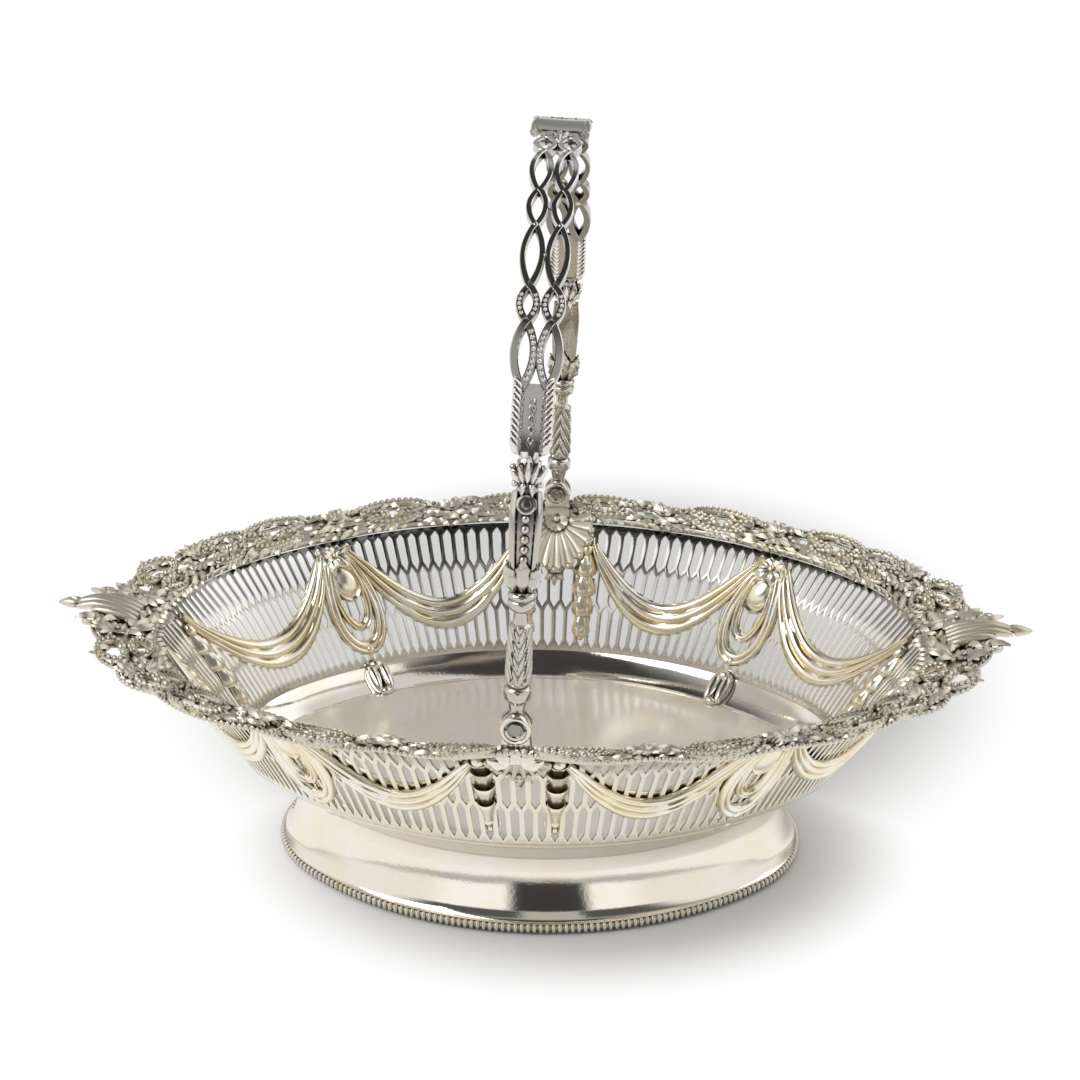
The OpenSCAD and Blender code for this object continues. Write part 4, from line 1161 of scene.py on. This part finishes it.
def end_shell():
    """Fluted shell at each end, narrowing to a small pointed bud, with a curl at each side."""
    root = TIP_HALF_X - 33
    flutes = []
    for i in (-2, -1, 0, 1, 2):
        t = np.linspace(0, 1, 15)
        length = 27 - 2.2 * i * i
        arch = 1.4 + (2.4 - 0.4 * abs(i)) * np.sin(math.pi * (0.1 + 0.8 * t))
        path = np.column_stack([root + length * t, i * (3.5 - 0.7 * t * t), arch])
        size = np.interp(t, (0, 0.12, 0.6, 0.9, 1), (0.6, 1.0, 1.0, 0.8, 0.4))
        flutes.append(sweep(f"flute_{i}", path, rod(1.95, 1.9, 10), size))
    shell = join("shell", flutes)
    bud, petal = ball("bud", 2), leaf("bud_leaf", 9, 4.6)
    x, y, z = points(bud).T
    taper = 1 - 0.5 * np.clip(x, 0, 1)
    put(bud, np.column_stack([TIP_HALF_X - 5.4 + 5.2 * x, 2.8 * y * taper, 2.4 + 2.2 * z * taper]))
    spread = ((-52, 1.6, 0.55), (-24, 2.8, 0.66), (0, 3.6, 0.6), (24, 2.8, 0.66), (52, 1.6, 0.55))
    places = [spin_at(math.radians(a), TIP_HALF_X - 10.5, 0, lift, s) for a, lift, s in spread]
    leaves = set_out(petal, "bud_leaves", places)
    curls = []
    for s in (-1, 1):
        q = np.linspace(0, 1.6 * math.pi, 26)
        r = 4.2 * (1 - 0.5 * q / q[-1])
        path = np.column_stack([root + 17 - r * np.sin(q), s * (10.2 + 2.6 - r * np.cos(q))])
        curls.append(sweep(f"shell_curl_{s}", path, rod(1.3, 1.5, 8, 1.6), np.linspace(1.0, 0.7, 26)))
    spread = ((62, 8, 6), (28, 15, 9), (100, 2, 5))
    places = [spin_at(s * math.radians(a), root + x, s * y, 1.4, 1.0) for s in (-1, 1) for a, x, y in spread]
    petals = set_out(petal, "shell_leaves", places)
    remove(petal)
    model = join("end_shell", [shell, bud, leaves, petals] + curls)
    co = points(model)
    inner, edge = float(border_rim(0.0)[0]), float(border_edge(0.0)[0])
    rise = border_height(0.0, np.clip((co[:, 0] - inner) / (edge - inner), 0, 1.15))
    put(model, np.column_stack([np.minimum(co[:, 0], END_REACH), co[:, 1], co[:, 2] + rise]))
    weld(model)
    for side in ("left", "right"):
        made = mirrored(model, f"fluted_shell_{side}", "back", side)
        piece(smooth(made, 45), "basket", "cast_border", CAST, f"end_shell_{side}")
    remove(model)


# Hinges and handle

EAR_R = 5.6
EAR_OFF = 3.05
EAR_T = 1.8
EAR_FOOT_Z = 92.5
PIN_R = 1.55
PIN_HALF = 3.6
TONGUE_T = 3.6
STEM_DEG = 14
BUD_DEG = 19
PANEL_DEG = 28
ARCH_H = HANDLE_H - LEG_H
TOP_CENTRE = HANDLE_H - TOP_R
SIDE_R = ((ARCH_H - TOP_R) ** 2 + HINGE_Y ** 2 - TOP_R ** 2) / (2 * (HINGE_Y - TOP_R))
SIDE_END = math.pi / 2 - math.atan2(SIDE_R - HINGE_Y, ARCH_H - TOP_R)
SIDE_TOP = LEG_H + SIDE_R * SIDE_END
STEM_END = LEG_H + SIDE_R * math.radians(STEM_DEG)
BUD_END = LEG_H + SIDE_R * math.radians(BUD_DEG)
PANEL_END = LEG_H + SIDE_R * math.radians(PANEL_DEG)
ARCH_MIDDLE = SIDE_TOP + TOP_R * (math.pi / 2 - SIDE_END)
TABLET_LEN = 18.0
CROWN_END = ARCH_MIDDLE - TABLET_LEN / 2
SIDE_LOOPS = (0.30, 0.17, 0.32, 0.21)
TOP_LOOPS = (0.68, 0.32)


def disc(name, profile, steps=32):
    """Turned shape: (radius, height) profile round the z axis."""
    profile = np.array(profile, float)
    made = sheet(name, steps, len(profile) - 1)
    i, k = grid_index(made, steps, len(profile) - 1)
    turn = i / steps * TAU
    r, z = profile[k].T
    put(made, np.column_stack([r * np.cos(turn), r * np.sin(turn), z]))
    return cap(weld(made))


def hinge(end):
    """Two round ears on the border with ringed faces, and the pin through them."""
    sign = -1 if end == "front" else 1
    shares = [(0, -0.5), (0.56, -0.5), (0.59, -0.75), (0.68, -0.75), (0.70, 0.3), (0.73, 0.5), (0.90, 0.5),
              (0.97, 0.25), (1, -0.3), (1, -EAR_T), (0, -EAR_T)]
    ring = [(EAR_R * share, high) for share, high in shares]
    pin = [(0, 0.25), (1.0, 0.23), (1.9, 0.1), (2.1, 0.12), (2.25, 0.4), (2.5, 0.5), (2.75, 0.4), (2.9, 0.1),
           (2.9, -0.5), (0, -0.5)]
    ears, pins = [], []
    for face in (-1, 1):
        ear, head = disc(f"ear_{face}", ring), disc(f"head_{face}", pin)
        post = block(f"post_{face}")
        x, y, z = points(post).T
        wide = x * 2 * EAR_R * 0.9 * np.where(y < 0, 1.15, 0.9)
        tall = np.where(y < 0, EAR_FOOT_Z - HINGE_Z, 0)
        put(post, np.column_stack([wide, tall, -EAR_T / 2 + z * EAR_T * 0.92]))
        modify(post, "BEVEL", width=0.35, segments=2)
        outer = EAR_OFF + EAR_T / 2
        for part, keep in ((ear, ears), (post, ears), (head, pins)):
            x, z, out = points(part).T
            put(part, np.column_stack([x * face, sign * HINGE_Y + face * (outer + out), HINGE_Z + z]))
            keep.append(weld(part))
    petal = leaf("hinge_leaf", 8, 5)
    co = points(petal)
    for s, turn in ((-1, 155), (1, 25), (-1, 118), (1, 62)):
        made = copy_of(petal, f"hinge_leaf_{turn}")
        x, y, z = spin_at(math.radians(turn), s * 3, 0, 0)(co).T
        out = sign * (HINGE_Y + EAR_OFF + EAR_T * 0.6 + z * 0.7)
        put(made, np.column_stack([x, out, EAR_FOOT_Z - 0.6 + y]))
        ears.append(weld(made))
    remove(petal)
    shaft = disc("shaft", [(0, -PIN_HALF), (PIN_R, -PIN_HALF), (PIN_R, PIN_HALF), (0, PIN_HALF)], 20)
    x, z, out = points(shaft).T
    pins.append(weld(put(shaft, np.column_stack([x, sign * HINGE_Y + out, HINGE_Z + z]))))
    piece(smooth(join(f"hinge_ears_{end}", ears), 40), "basket", "hinge_silver", EAR, f"hinge_bracket_{end}")
    piece(smooth(join(f"hinge_pin_heads_{end}", pins), 40), "basket", "hinge_silver", PIN, f"hinge_pin_{end}")


def on_arch(flat, end):
    """Bends flat handle work (across, along from the hinge, outwards) round the leg and arch."""
    x, run, out = points(flat).T
    side, top = (run - LEG_H) / SIDE_R, SIDE_END + (run - SIDE_TOP) / TOP_R
    leg, low = run < LEG_H, run < SIDE_TOP
    side_y, top_y = HINGE_Y - SIDE_R + (SIDE_R + out) * np.cos(side), (TOP_R + out) * np.cos(top)
    y = np.where(leg, HINGE_Y + out, np.where(low, side_y, top_y))
    side_h, top_h = LEG_H + (SIDE_R + out) * np.sin(side), TOP_CENTRE + (TOP_R + out) * np.sin(top)
    h = np.where(leg, run, np.where(low, side_h, top_h))
    y = -y if end == "front" else y
    lean_x = x * math.cos(HANDLE_LEAN) + h * math.sin(HANDLE_LEAN)
    lean_z = HINGE_Z + h * math.cos(HANDLE_LEAN) - x * math.sin(HANDLE_LEAN)
    return weld(put(flat, np.column_stack([lean_x, y, lean_z])))


def turned(name, profile, steps, leafed):
    """Turned length of the leg: (along, radius) profile, with slanting leaf ridges between two heights."""
    profile = np.array(profile, float)
    made = sheet(name, steps, len(profile) - 1)
    i, k = grid_index(made, steps, len(profile) - 1)
    turn = i / steps * TAU
    run, r = profile[k].T
    low, high = leafed
    inside = (run > low) & (run < high)
    from_front = np.abs(np.mod(turn + math.pi / 2, TAU) - math.pi)
    ridge = np.abs(np.cos(4.5 * from_front - (run - low) * 0.62))
    r = np.where(inside, r * (0.76 + 0.28 * ridge), r)
    put(made, np.column_stack([r * np.cos(turn), run, r * np.sin(turn)]))
    return cap(weld(made))


def strap(name, first, last, section, widths, steps=20):
    """Closed section (share of half width, out) run along the arch."""
    section = np.array(list(section) + [section[0]], float)
    made = sheet(name, steps, len(section) - 1)
    i, k = grid_index(made, steps, len(section) - 1)
    half = np.interp(i / steps, np.linspace(0, 1, len(widths)), widths)
    put(made, np.column_stack([section[k, 0] * half, first + (last - first) * i / steps, section[k, 1]]))
    return cap(weld(made))


def laid(pattern, name, places):
    """Sets a flat ornament on the outer face of the handle, each at (angle, across, along, out, scale)."""
    turned_to = [spin_at(math.radians(a), x, run, out, s) for a, x, run, out, s in places]
    return set_out(pattern, name, turned_to)


def back_of(flat):
    """Turns flat ornament round to the inner face of the handle."""
    return flip(put(flat, points(flat) * np.array([1, 1, -1])))


def leg(end):
    """Tongue with its eye, turned leg with leaf baluster, and the beaded stem."""
    half_t = TONGUE_T / 2
    rim = [(0, half_t), (4.4, half_t), (5.05, half_t - 0.5), (5.05, 0.5 - half_t), (4.4, -half_t),
           (0, -half_t)]
    eye = disc("eye", rim)
    tongue = strap("tongue", 2.5, 10.2, rod(1.0, half_t, 16), (3.2, 2.7, 3.4))
    lower = [(8.8, 0.1), (8.8, 2.4), (9.4, 2.6), (10.0, 2.9), (10.4, 4.0), (10.9, 4.7), (11.8, 4.95),
             (13.2, 5.0), (14.4, 4.95), (15.2, 4.6), (15.7, 3.9), (16.0, 3.3), (16.6, 3.3)]
    heights = np.linspace(17, 38.8, 36)
    radii = np.interp(heights, (17, 18, 20, 24, 30, 36, 38.8), (4.2, 4.6, 4.65, 4.55, 4.35, 4.05, 3.95))
    baluster = list(zip(heights, radii))
    upper = [(39.2, 3.4), (39.6, 2.8), (41, 2.65), (43.6, 2.65), (44.2, 2.9), (44.6, 3.8), (45.2, 4.5),
             (46.2, 4.85), (47.4, 4.9), (48.2, 4.6), (48.5, 4.1), (48.8, 4.1), (49.2, 4.8), (49.8, 5.0),
             (50.5, 4.8), (51.2, 4.0), (51.2, 0.1)]
    column = turned("column", lower + baluster + upper, 48, (17.2, 38.7))
    groove = 0.55
    section = [(-1, -1.2), (-0.75, -1.6), (-0.5, -1.1), (0.5, -1.1), (0.75, -1.6), (1, -1.2), (1, 1.1),
               (0.86, 1.7), (0.62, 1.7), (0.48, groove), (-0.48, groove), (-0.62, 1.7), (-0.86, 1.7),
               (-1, 1.1)]
    stem = strap("stem", LEG_H, STEM_END, section, (4.1, 4.6, 5.1, 5.4, 5.6, 5.0), 24)
    bead = ball("stem_bead", 2)
    runs = np.linspace(LEG_H + 11.5, STEM_END - 9.2, 5)
    beads = set_out(bead, "stem_beads", [ball_at(0, run, 1.0, 1.6) for run in runs])
    rings = [(0, 2.6), (1.5, 2.5), (1.9, 2.0), (2.3, 2.0), (2.7, 2.5), (3.3, 2.4), (3.7, 1.6), (3.8, 0.4),
             (0, 0.4)]
    boss = disc("scroll_boss", rings, 28)
    put(boss, points(boss) + np.array([0, STEM_END - 4.2, 0]))
    frond = leaf("frond", 11, 5.0, 3)
    fan_out = ((90, 0, 1.1), (72, 2.6, 0.95), (108, -2.6, 0.95))
    fronds = laid(frond, "cap_leaves", [(a, x, LEG_H + 0.5, 1.3, s) for a, x, s in fan_out])
    backs = back_of(copy_of(fronds, "back_leaves"))
    remove(bead, frond)
    made = join("leg", [eye, tongue, column, stem, beads, boss, fronds, backs])
    piece(smooth(on_arch(made, end), 45), "handle", "handle_silver", LEG, f"handle_leg_{end}")


def bud(end):
    """Cluster of leaves and round tips between stem and panel."""
    mid = (STEM_END + BUD_END) / 2
    core, tip, petal = ball("core", 3), ball("tip", 2), leaf("bud_petal", 7.5, 3.0)
    put(core, points(core) * np.array([4.2, 6.4, 2.2]) + np.array([0, mid, 0]))
    rounds = ((-5.1, 1.6, 1.2, 1.35), (5.1, 1.6, 1.2, 1.35), (-4.3, -3.6, 1.2, 1.2), (4.3, -3.6, 1.2, 1.2),
              (-1.4, -4.4, 2.2, 1.1), (1.4, -4.4, 2.2, 1.1), (0, 4.6, 2.0, 1.0))
    tips = set_out(tip, "bud_tips", [ball_at(x, mid + along, out, r) for x, along, out, r in rounds])
    fan_out = ((90, 0, 1.25), (74, 1.4, 1.1), (106, -1.4, 1.1), (56, 2.4, 0.9), (124, -2.4, 0.9),
               (-78, 1.0, 0.6), (-102, -1.0, 0.6))
    petals = laid(petal, "bud_petals", [(a, x, mid - 3.6, 1.7, s) for a, x, s in fan_out])
    backs = back_of(copy_of(petals, "bud_backs"))
    remove(tip, petal)
    widths = (4.4, 2.9, 3.4, 2.9, 4.2)
    collar = strap("bud_collar", STEM_END - 0.6, BUD_END + 0.6, rod(1.0, 1.5, 16), widths, 16)
    made = join("bud", [core, collar, tips, petals, backs])
    piece(smooth(on_arch(made, end), 45), "handle", "handle_silver", HANDLE, f"handle_bud_{end}")


def panel(end):
    """Bright flat panel with a leaf spray and feathered edges."""
    first, last = BUD_END - 0.6, PANEL_END + 0.8
    field = [(-1, -0.9), (1, -0.9), (1, 0.9), (0.86, 1.15), (0.72, 1.15), (0.66, 0.6), (-0.66, 0.6),
             (-0.72, 1.15), (-0.86, 1.15), (-1, 0.9)]
    plate = strap("plate", first, last, field, (4.7, 4.9, 4.9, 4.8), 12)
    feather = leaf("feather", 4.6, 2.9, 1, 0.8)
    runs = np.linspace(first + 0.6, last - 2.4, 11)
    places = [(90 - s * 30, s * 3.9, run, 0.4, 1.25) for s in (-1, 1) for run in runs]
    edges = laid(feather, "feathers", places)
    stalk = np.linspace(first + 2.5, last - 5, 40)
    wave = 0.9 * np.sin((stalk - stalk[0]) * 0.85)
    wire = rod(0.42, 0.42, 6, 0.72)
    twigs = [sweep(f"twig_{s}", np.column_stack([s * wave, stalk]), wire) for s in (-1, 1)]
    runs = np.linspace(first + 3, last - 8, 5)
    places = [(90 + s * 30, s * 0.5, run, 0.35, 0.62) for s in (-1, 1) for run in runs]
    sprig = laid(feather, "sprig", places)
    back = back_of(copy_of(edges, "feather_backs"))
    remove(feather)
    made = join("panel", [plate, edges, back, sprig] + twigs)
    piece(smooth(on_arch(made, end), 40), "handle", "handle_silver", HANDLE, f"handle_panel_{end}")


LOOP_OFF = 4.3
LOOP_HALF = (2.9, 3.3)


def bands(name, first, last, shares, sizes):
    """Four crossing bars that make two chains of oval loops, with an open lozenge between."""
    flat = [(-0.95, -1.7), (-0.8, -1.9), (0.8, -1.9), (0.95, -1.7), (0.95, 0.85), (0.7, 1.1), (-0.7, 1.1),
            (-0.95, 0.85)]
    starts = first + (last - first) * np.concatenate([[0], np.cumsum(shares)])
    parts = []
    for column in (-1, 1):
        for way in (-1, 1):
            line = []
            for i, share in enumerate(shares):
                t = np.linspace(0, 1, 25)[(1 if i else 0):]
                half = LOOP_HALF[share > 0.25]
                side = way * (-1) ** i
                line.append(np.column_stack([column * LOOP_OFF + side * half * np.sin(math.pi * t) ** 0.8,
                                             starts[i] + (starts[i + 1] - starts[i]) * t,
                                             0.16 * way * np.cos(math.pi * t)]))
            line = np.vstack(line)
            size = np.interp(line[:, 1], (starts[:-1] + starts[1:]) / 2, sizes)
            parts.append(sweep(f"{name}_{column}_{way}", line, flat, size))
    return parts, starts


def lattice(end):
    """Pierced side length of the handle."""
    parts, starts = bands("band", PANEL_END - 0.4, SIDE_TOP + 0.4, SIDE_LOOPS, (1.45, 1.3, 1.0, 1.0))
    stud = ball("stud", 2)
    marks = [ball_at(column * LOOP_OFF, run, 0.5, 1.2, 0.8) for column in (-1, 1) for run in starts[1:-1]]
    marks += [ball_at(0, (a + b) / 2, 0.4, 0.85, 1.1) for a, b in zip(starts[:-1], starts[1:])]
    parts.append(set_out(stud, "studs", marks))
    knot = ball("rope_knot", 1)
    seed = []
    roped = ((starts[0], starts[1], LOOP_HALF[1], (-1,), 1.05),
             (starts[1], starts[2], LOOP_HALF[0], (-1, 1), 0.85))
    for a, b, half, ways, r in roped:
        stops = np.arange(a + 2.6, b - 2.2, 1.9 * r)
        for column, way, run in ((c, w, d) for c in (-1, 1) for w in ways for d in stops):
            bow = math.sin(math.pi * (run - a) / (b - a)) ** 0.8
            seed.append(ball_at(column * (LOOP_OFF + way * half * bow), run, 1.3, r))
    parts.append(set_out(knot, "rope", seed))
    remove(stud, knot)
    made = join("lattice", parts)
    piece(smooth(on_arch(made, end), 40), "handle", "handle_silver", LATTICE, f"handle_lattice_{end}")


def crown(end):
    """Last loops below the tablet, with a pair of flowers and a bud."""
    parts, starts = bands("crown_band", SIDE_TOP - 0.4, CROWN_END - 5.5, TOP_LOOPS, (1.0, 1.0))
    bloom, petal = flower("crown_bloom", 3.1, 5), leaf("crown_leaf", 6.5, 3.0)
    stud = ball("crown_stud", 2)
    put(bloom, points(bloom) * np.array([1, 1, 0.55]))
    put(petal, points(petal) * np.array([1, 1, 0.5]))
    run = CROWN_END - 4.2
    lift = 0.7 if end == "front" else -0.5
    pair = ((12, -3.8), (40, 3.8))
    parts.append(laid(bloom, "crown_blooms", [(a, x, run, lift, 1.0) for a, x in pair]))
    parts.append(back_of(laid(bloom, "crown_backs", [(a, x, run, 0.7, 1.0) for a, x in pair])))
    fan_out = ((90, 0, 3, 1.0), (70, 1, 2, 1.0), (110, -1, 2, 1.0), (-90, 0, 1, 0.8))
    parts.append(laid(petal, "crown_leaves", [(a, x, run - low, lift, s) for a, x, low, s in fan_out]))
    marks = [ball_at(c * LOOP_OFF, starts[1], 0.5, 1.2, 0.8) for c in (-1, 1)]
    marks += [ball_at(0, starts[-1] - 2.5, lift, 1.3), ball_at(0, CROWN_END - 1.5, lift - 0.2, 1.3)]
    parts.append(set_out(stud, "crown_studs", marks))
    bar = block("crown_bar")
    put(bar, points(bar) * np.array([13.5, 3.2, 1.8]) + np.array([0, CROWN_END - 1.2, 0]))
    modify(bar, "BEVEL", width=0.4, segments=2)
    parts.append(bar)
    remove(bloom, stud, petal)
    made = join("crown", parts)
    piece(smooth(on_arch(made, end), 40), "handle", "handle_silver", LATTICE, f"handle_crown_{end}")


def tablet():
    """Plain curved tablet across the top with its two long edges rolled."""
    roll, half = 1.65, 10.8
    first, last = CROWN_END, 2 * ARCH_MIDDLE - CROWN_END
    upper = [(x, 1.5 - 0.35 * (1 - (x / half) ** 2)) for x in np.linspace(half - 1, 1 - half, 13)]
    lower = [(x, -0.9) for x in np.linspace(1 - half, half - 1, 5)]
    section = [(x / half, z) for x, z in upper + lower]
    parts = [strap("tablet_plate", first, last, section, (half,) * 2, 28)]
    circle = np.linspace(0, TAU, 20, False)
    for s in (-1, 1):
        q = np.linspace(0, 2.6 * math.pi, 44)
        r = roll * (1 - 0.32 * q / q[-1])
        section = [(roll * math.cos(a) / half + s * (half - roll) / half, roll * math.sin(a)) for a in circle]
        edge = strap(f"roll_{s}", first - 0.6, last + 0.6, section, (half * 0.97, half, half * 0.97), 28)
        path = np.column_stack([s * (half - roll) + r * np.cos(q) * 0.8 * s, 0.2 + r * np.sin(q) * 0.8])
        for place in (first - 0.6, last + 0.6):
            coil = sweep("coil", path, rod(0.22, 0.3, 6))
            x, out, along = points(coil).T
            parts.append(weld(put(coil, np.column_stack([x, place + along, out]))))
        parts.append(edge)
    made = join("tablet", parts)
    piece(smooth(on_arch(made, "back"), 40), "handle", "handle_silver", LATTICE, "handle_tablet")


# Studio

CAMERA_AIM = (0.36, 0, 129.16)
CAMERA_AWAY = 907.1
CAMERA_AZIMUTH = math.radians(4.13)
CAMERA_ELEVATION = math.radians(23.03)
CAMERA_LENS = 78.93
LAMP_AIM = (0, 0, 0.08)

# Name, place and width in metres, and power in watts
LAMPS = (("key", (-0.8, -0.55, 1.25), 0.9, 8), ("fill", (0.7, 0.5, 1.1), 1.3, 3.5))


def studio_floor():
    """Pale floor with a painted shadow: grey, dimly lit patches around the basket and behind it where the
    slots show it, which also take the basket's real shadows, and white farther off.
    """
    deselect()
    bpy.ops.mesh.primitive_plane_add(size=3, location=(0, 1.3, -0.0002))
    bpy.ops.object.transform_apply(location=True, rotation=True, scale=True)
    ground = named("studio_floor")
    paint = bpy.data.materials.new("studio_floor")
    paint.use_nodes = True
    paint.node_tree.nodes.clear()
    start = Socket(paint.node_tree)
    place = start.node("ShaderNodeTexCoord", out=3)
    # Painted shadow: two oval patches, behind the basket and under it, where the floor is dimly lit grey,
    # fading to white emission outside them.
    behind = start.node("ShaderNodeMapping", {"Vector": place, "Location": (-0.06, -0.95, 0.0),
                                              "Scale": (6.2, 5.4, 1.0)})
    under = start.node("ShaderNodeMapping", {"Vector": place, "Location": (-0.12, 0.0, 0.0),
                                             "Scale": (9.0, 10.6, 1.0)})
    from_shadow_behind = start.node("ShaderNodeVectorMath", {0: behind}, out=1, operation="LENGTH")
    from_shadow_under = start.node("ShaderNodeVectorMath", {0: under}, out=1, operation="LENGTH")
    away = start.math("MINIMUM", from_shadow_behind, from_shadow_under)
    lit = start.node("ShaderNodeBsdfDiffuse", {"Color": (0.88, 0.88, 0.87, 1)})
    plain = start.node("ShaderNodeEmission", {"Color": (1, 1, 1, 1), "Strength": 1.0})
    surface = start.node("ShaderNodeMixShader", {0: away.step(0.82, 1.28), 1: lit, 2: plain})
    start.node("ShaderNodeOutputMaterial", {"Surface": surface})
    ground.data.materials.append(paint)


def studio_room():
    """Light of the room by direction.

    A pale backdrop stands behind, bright screens at both sides, and the ceiling is dark in the middle.
    Towards the front there are a dark camera, bright panels beside it and a darker band above them.
    """
    world = bpy.data.worlds.new("studio")
    bpy.context.scene.world = world
    world.use_nodes = True
    world.node_tree.nodes.clear()
    start = Socket(world.node_tree)
    way = start.node("ShaderNodeTexCoord", out=0)
    axes = start.node("ShaderNodeSeparateXYZ", {0: way})
    x, y, z = (Socket(world.node_tree, axes.socket.node.outputs[i]) for i in range(3))
    across = x.math("ABSOLUTE", x)
    front = (0 - y).step(-0.1, 0.3)
    backdrop = y.step(0.2, 0.5) * (1 - z.step(0.04, 0.14)) * (1 - across.step(0.14, 0.34))
    aside = x.math("ABSOLUTE", x - 0.07)
    screens = across.step(0.55, 0.7) * z.step(-0.1, 0.12) * (1 - z.step(0.6, 0.78))
    screens = screens * (1 - 0.55 * y.step(0.4, 0.6))
    ceiling = (0.85 - y).step(0.0, 0.3) * z.step(0.74, 0.84) * (1 - across.step(0.25, 0.5))
    dusk = y.step(0.3, 0.6) * z.step(0.06, 0.14) * (1 - z.step(0.32, 0.42))
    lens = front * (1 - aside.step(0.20, 0.23)) * z.step(-0.06, -0.04) * (1 - z.step(0.35, 0.40))
    panels = front * aside.step(0.23, 0.28) * z.step(-0.04, 0.0) * (1 - z.step(0.34, 0.40))
    shade = front * aside.step(0.12, 0.2) * (1 - across.step(0.6, 0.75))
    shade = shade * z.step(0.36, 0.42) * (1 - z.step(0.7, 0.8))
    apron = front * (1 - z.step(-0.14, -0.07))
    bright = screens.math("MAXIMUM", screens, panels)
    near = 0.14 * panels * (1 - across.step(0.5, 0.7))
    level = (0.5 + 0.1 * backdrop + 0.42 * bright + near + 0.38 * apron
             - 0.45 * ceiling - 0.2 * dusk - 0.45 * lens - 0.4 * shade)
    path = start.node("ShaderNodeLightPath")
    camera_ray, glossy, transmitted = (Socket(world.node_tree, path.socket.node.outputs[key])
                                       for key in ("Is Camera Ray", "Is Glossy Ray", "Is Transmission Ray"))
    seen = camera_ray + (glossy + transmitted) * backdrop * 0.6
    strength = seen + (1 - seen) * level.math("MAXIMUM", level, 0.02)
    light = start.node("ShaderNodeBackground", {"Color": (1, 1, 1, 1), "Strength": strength})
    start.node("ShaderNodeOutputWorld", {"Surface": light})


def studio():
    """Floor, room, two soft lamps and the camera."""
    studio_floor()
    studio_room()
    for name, spot, width, power in LAMPS:
        lamp = bpy.data.lights.new(name, "AREA")
        lamp.energy, lamp.size = power, width
        holder = bpy.data.objects.new(name, lamp)
        holder.location = spot
        holder.rotation_euler = (Vector(LAMP_AIM) - Vector(spot)).to_track_quat("-Z", "Y").to_euler()
        bpy.context.scene.collection.objects.link(holder)
    camera()
    bpy.context.scene.view_settings.view_transform = "Standard"


def camera():
    """Camera a little to the right of the front and well above."""
    aim = Vector(CAMERA_AIM) * MM
    level = math.cos(CAMERA_ELEVATION)
    way = Vector((math.sin(CAMERA_AZIMUTH) * level, -math.cos(CAMERA_AZIMUTH) * level,
                  math.sin(CAMERA_ELEVATION)))
    view = bpy.data.cameras.new("view")
    view.sensor_width = 36
    view.lens = CAMERA_LENS
    holder = bpy.data.objects.new("view", view)
    holder.location = aim + CAMERA_AWAY * MM * way
    holder.rotation_euler = (aim - holder.location).to_track_quat("-Z", "Y").to_euler()
    bpy.context.scene.collection.objects.link(holder)
    bpy.context.scene.camera = holder


floor_dish()
foot()
pierced_wall()
swag("swag_side", start=(MEDALLION_RUN + KNOT_OFF, 43), end=(SIDE_RUN - FAN_OFF, 39), low=14.5)
swag("swag_end", start=(TASSEL_OFF + 2, 42), end=(MEDALLION_RUN - KNOT_OFF, 43), low=13.5)
medallion()
tassel("tassel_side", SIDE_RUN - TASSEL_OFF, outer_top=slope_up(84), inner_top=slope_up(79.5))
tassel("tassel_end", TASSEL_OFF, outer_top=slope_up(83), inner_top=slope_up(80.5))
drop()
hinge_fan()
cast_border()
end_shell()
for end in ("front", "back"):
    hinge(end)
    leg(end)
    bud(end)
    panel(end)
    lattice(end)
    crown(end)
tablet()
studio()
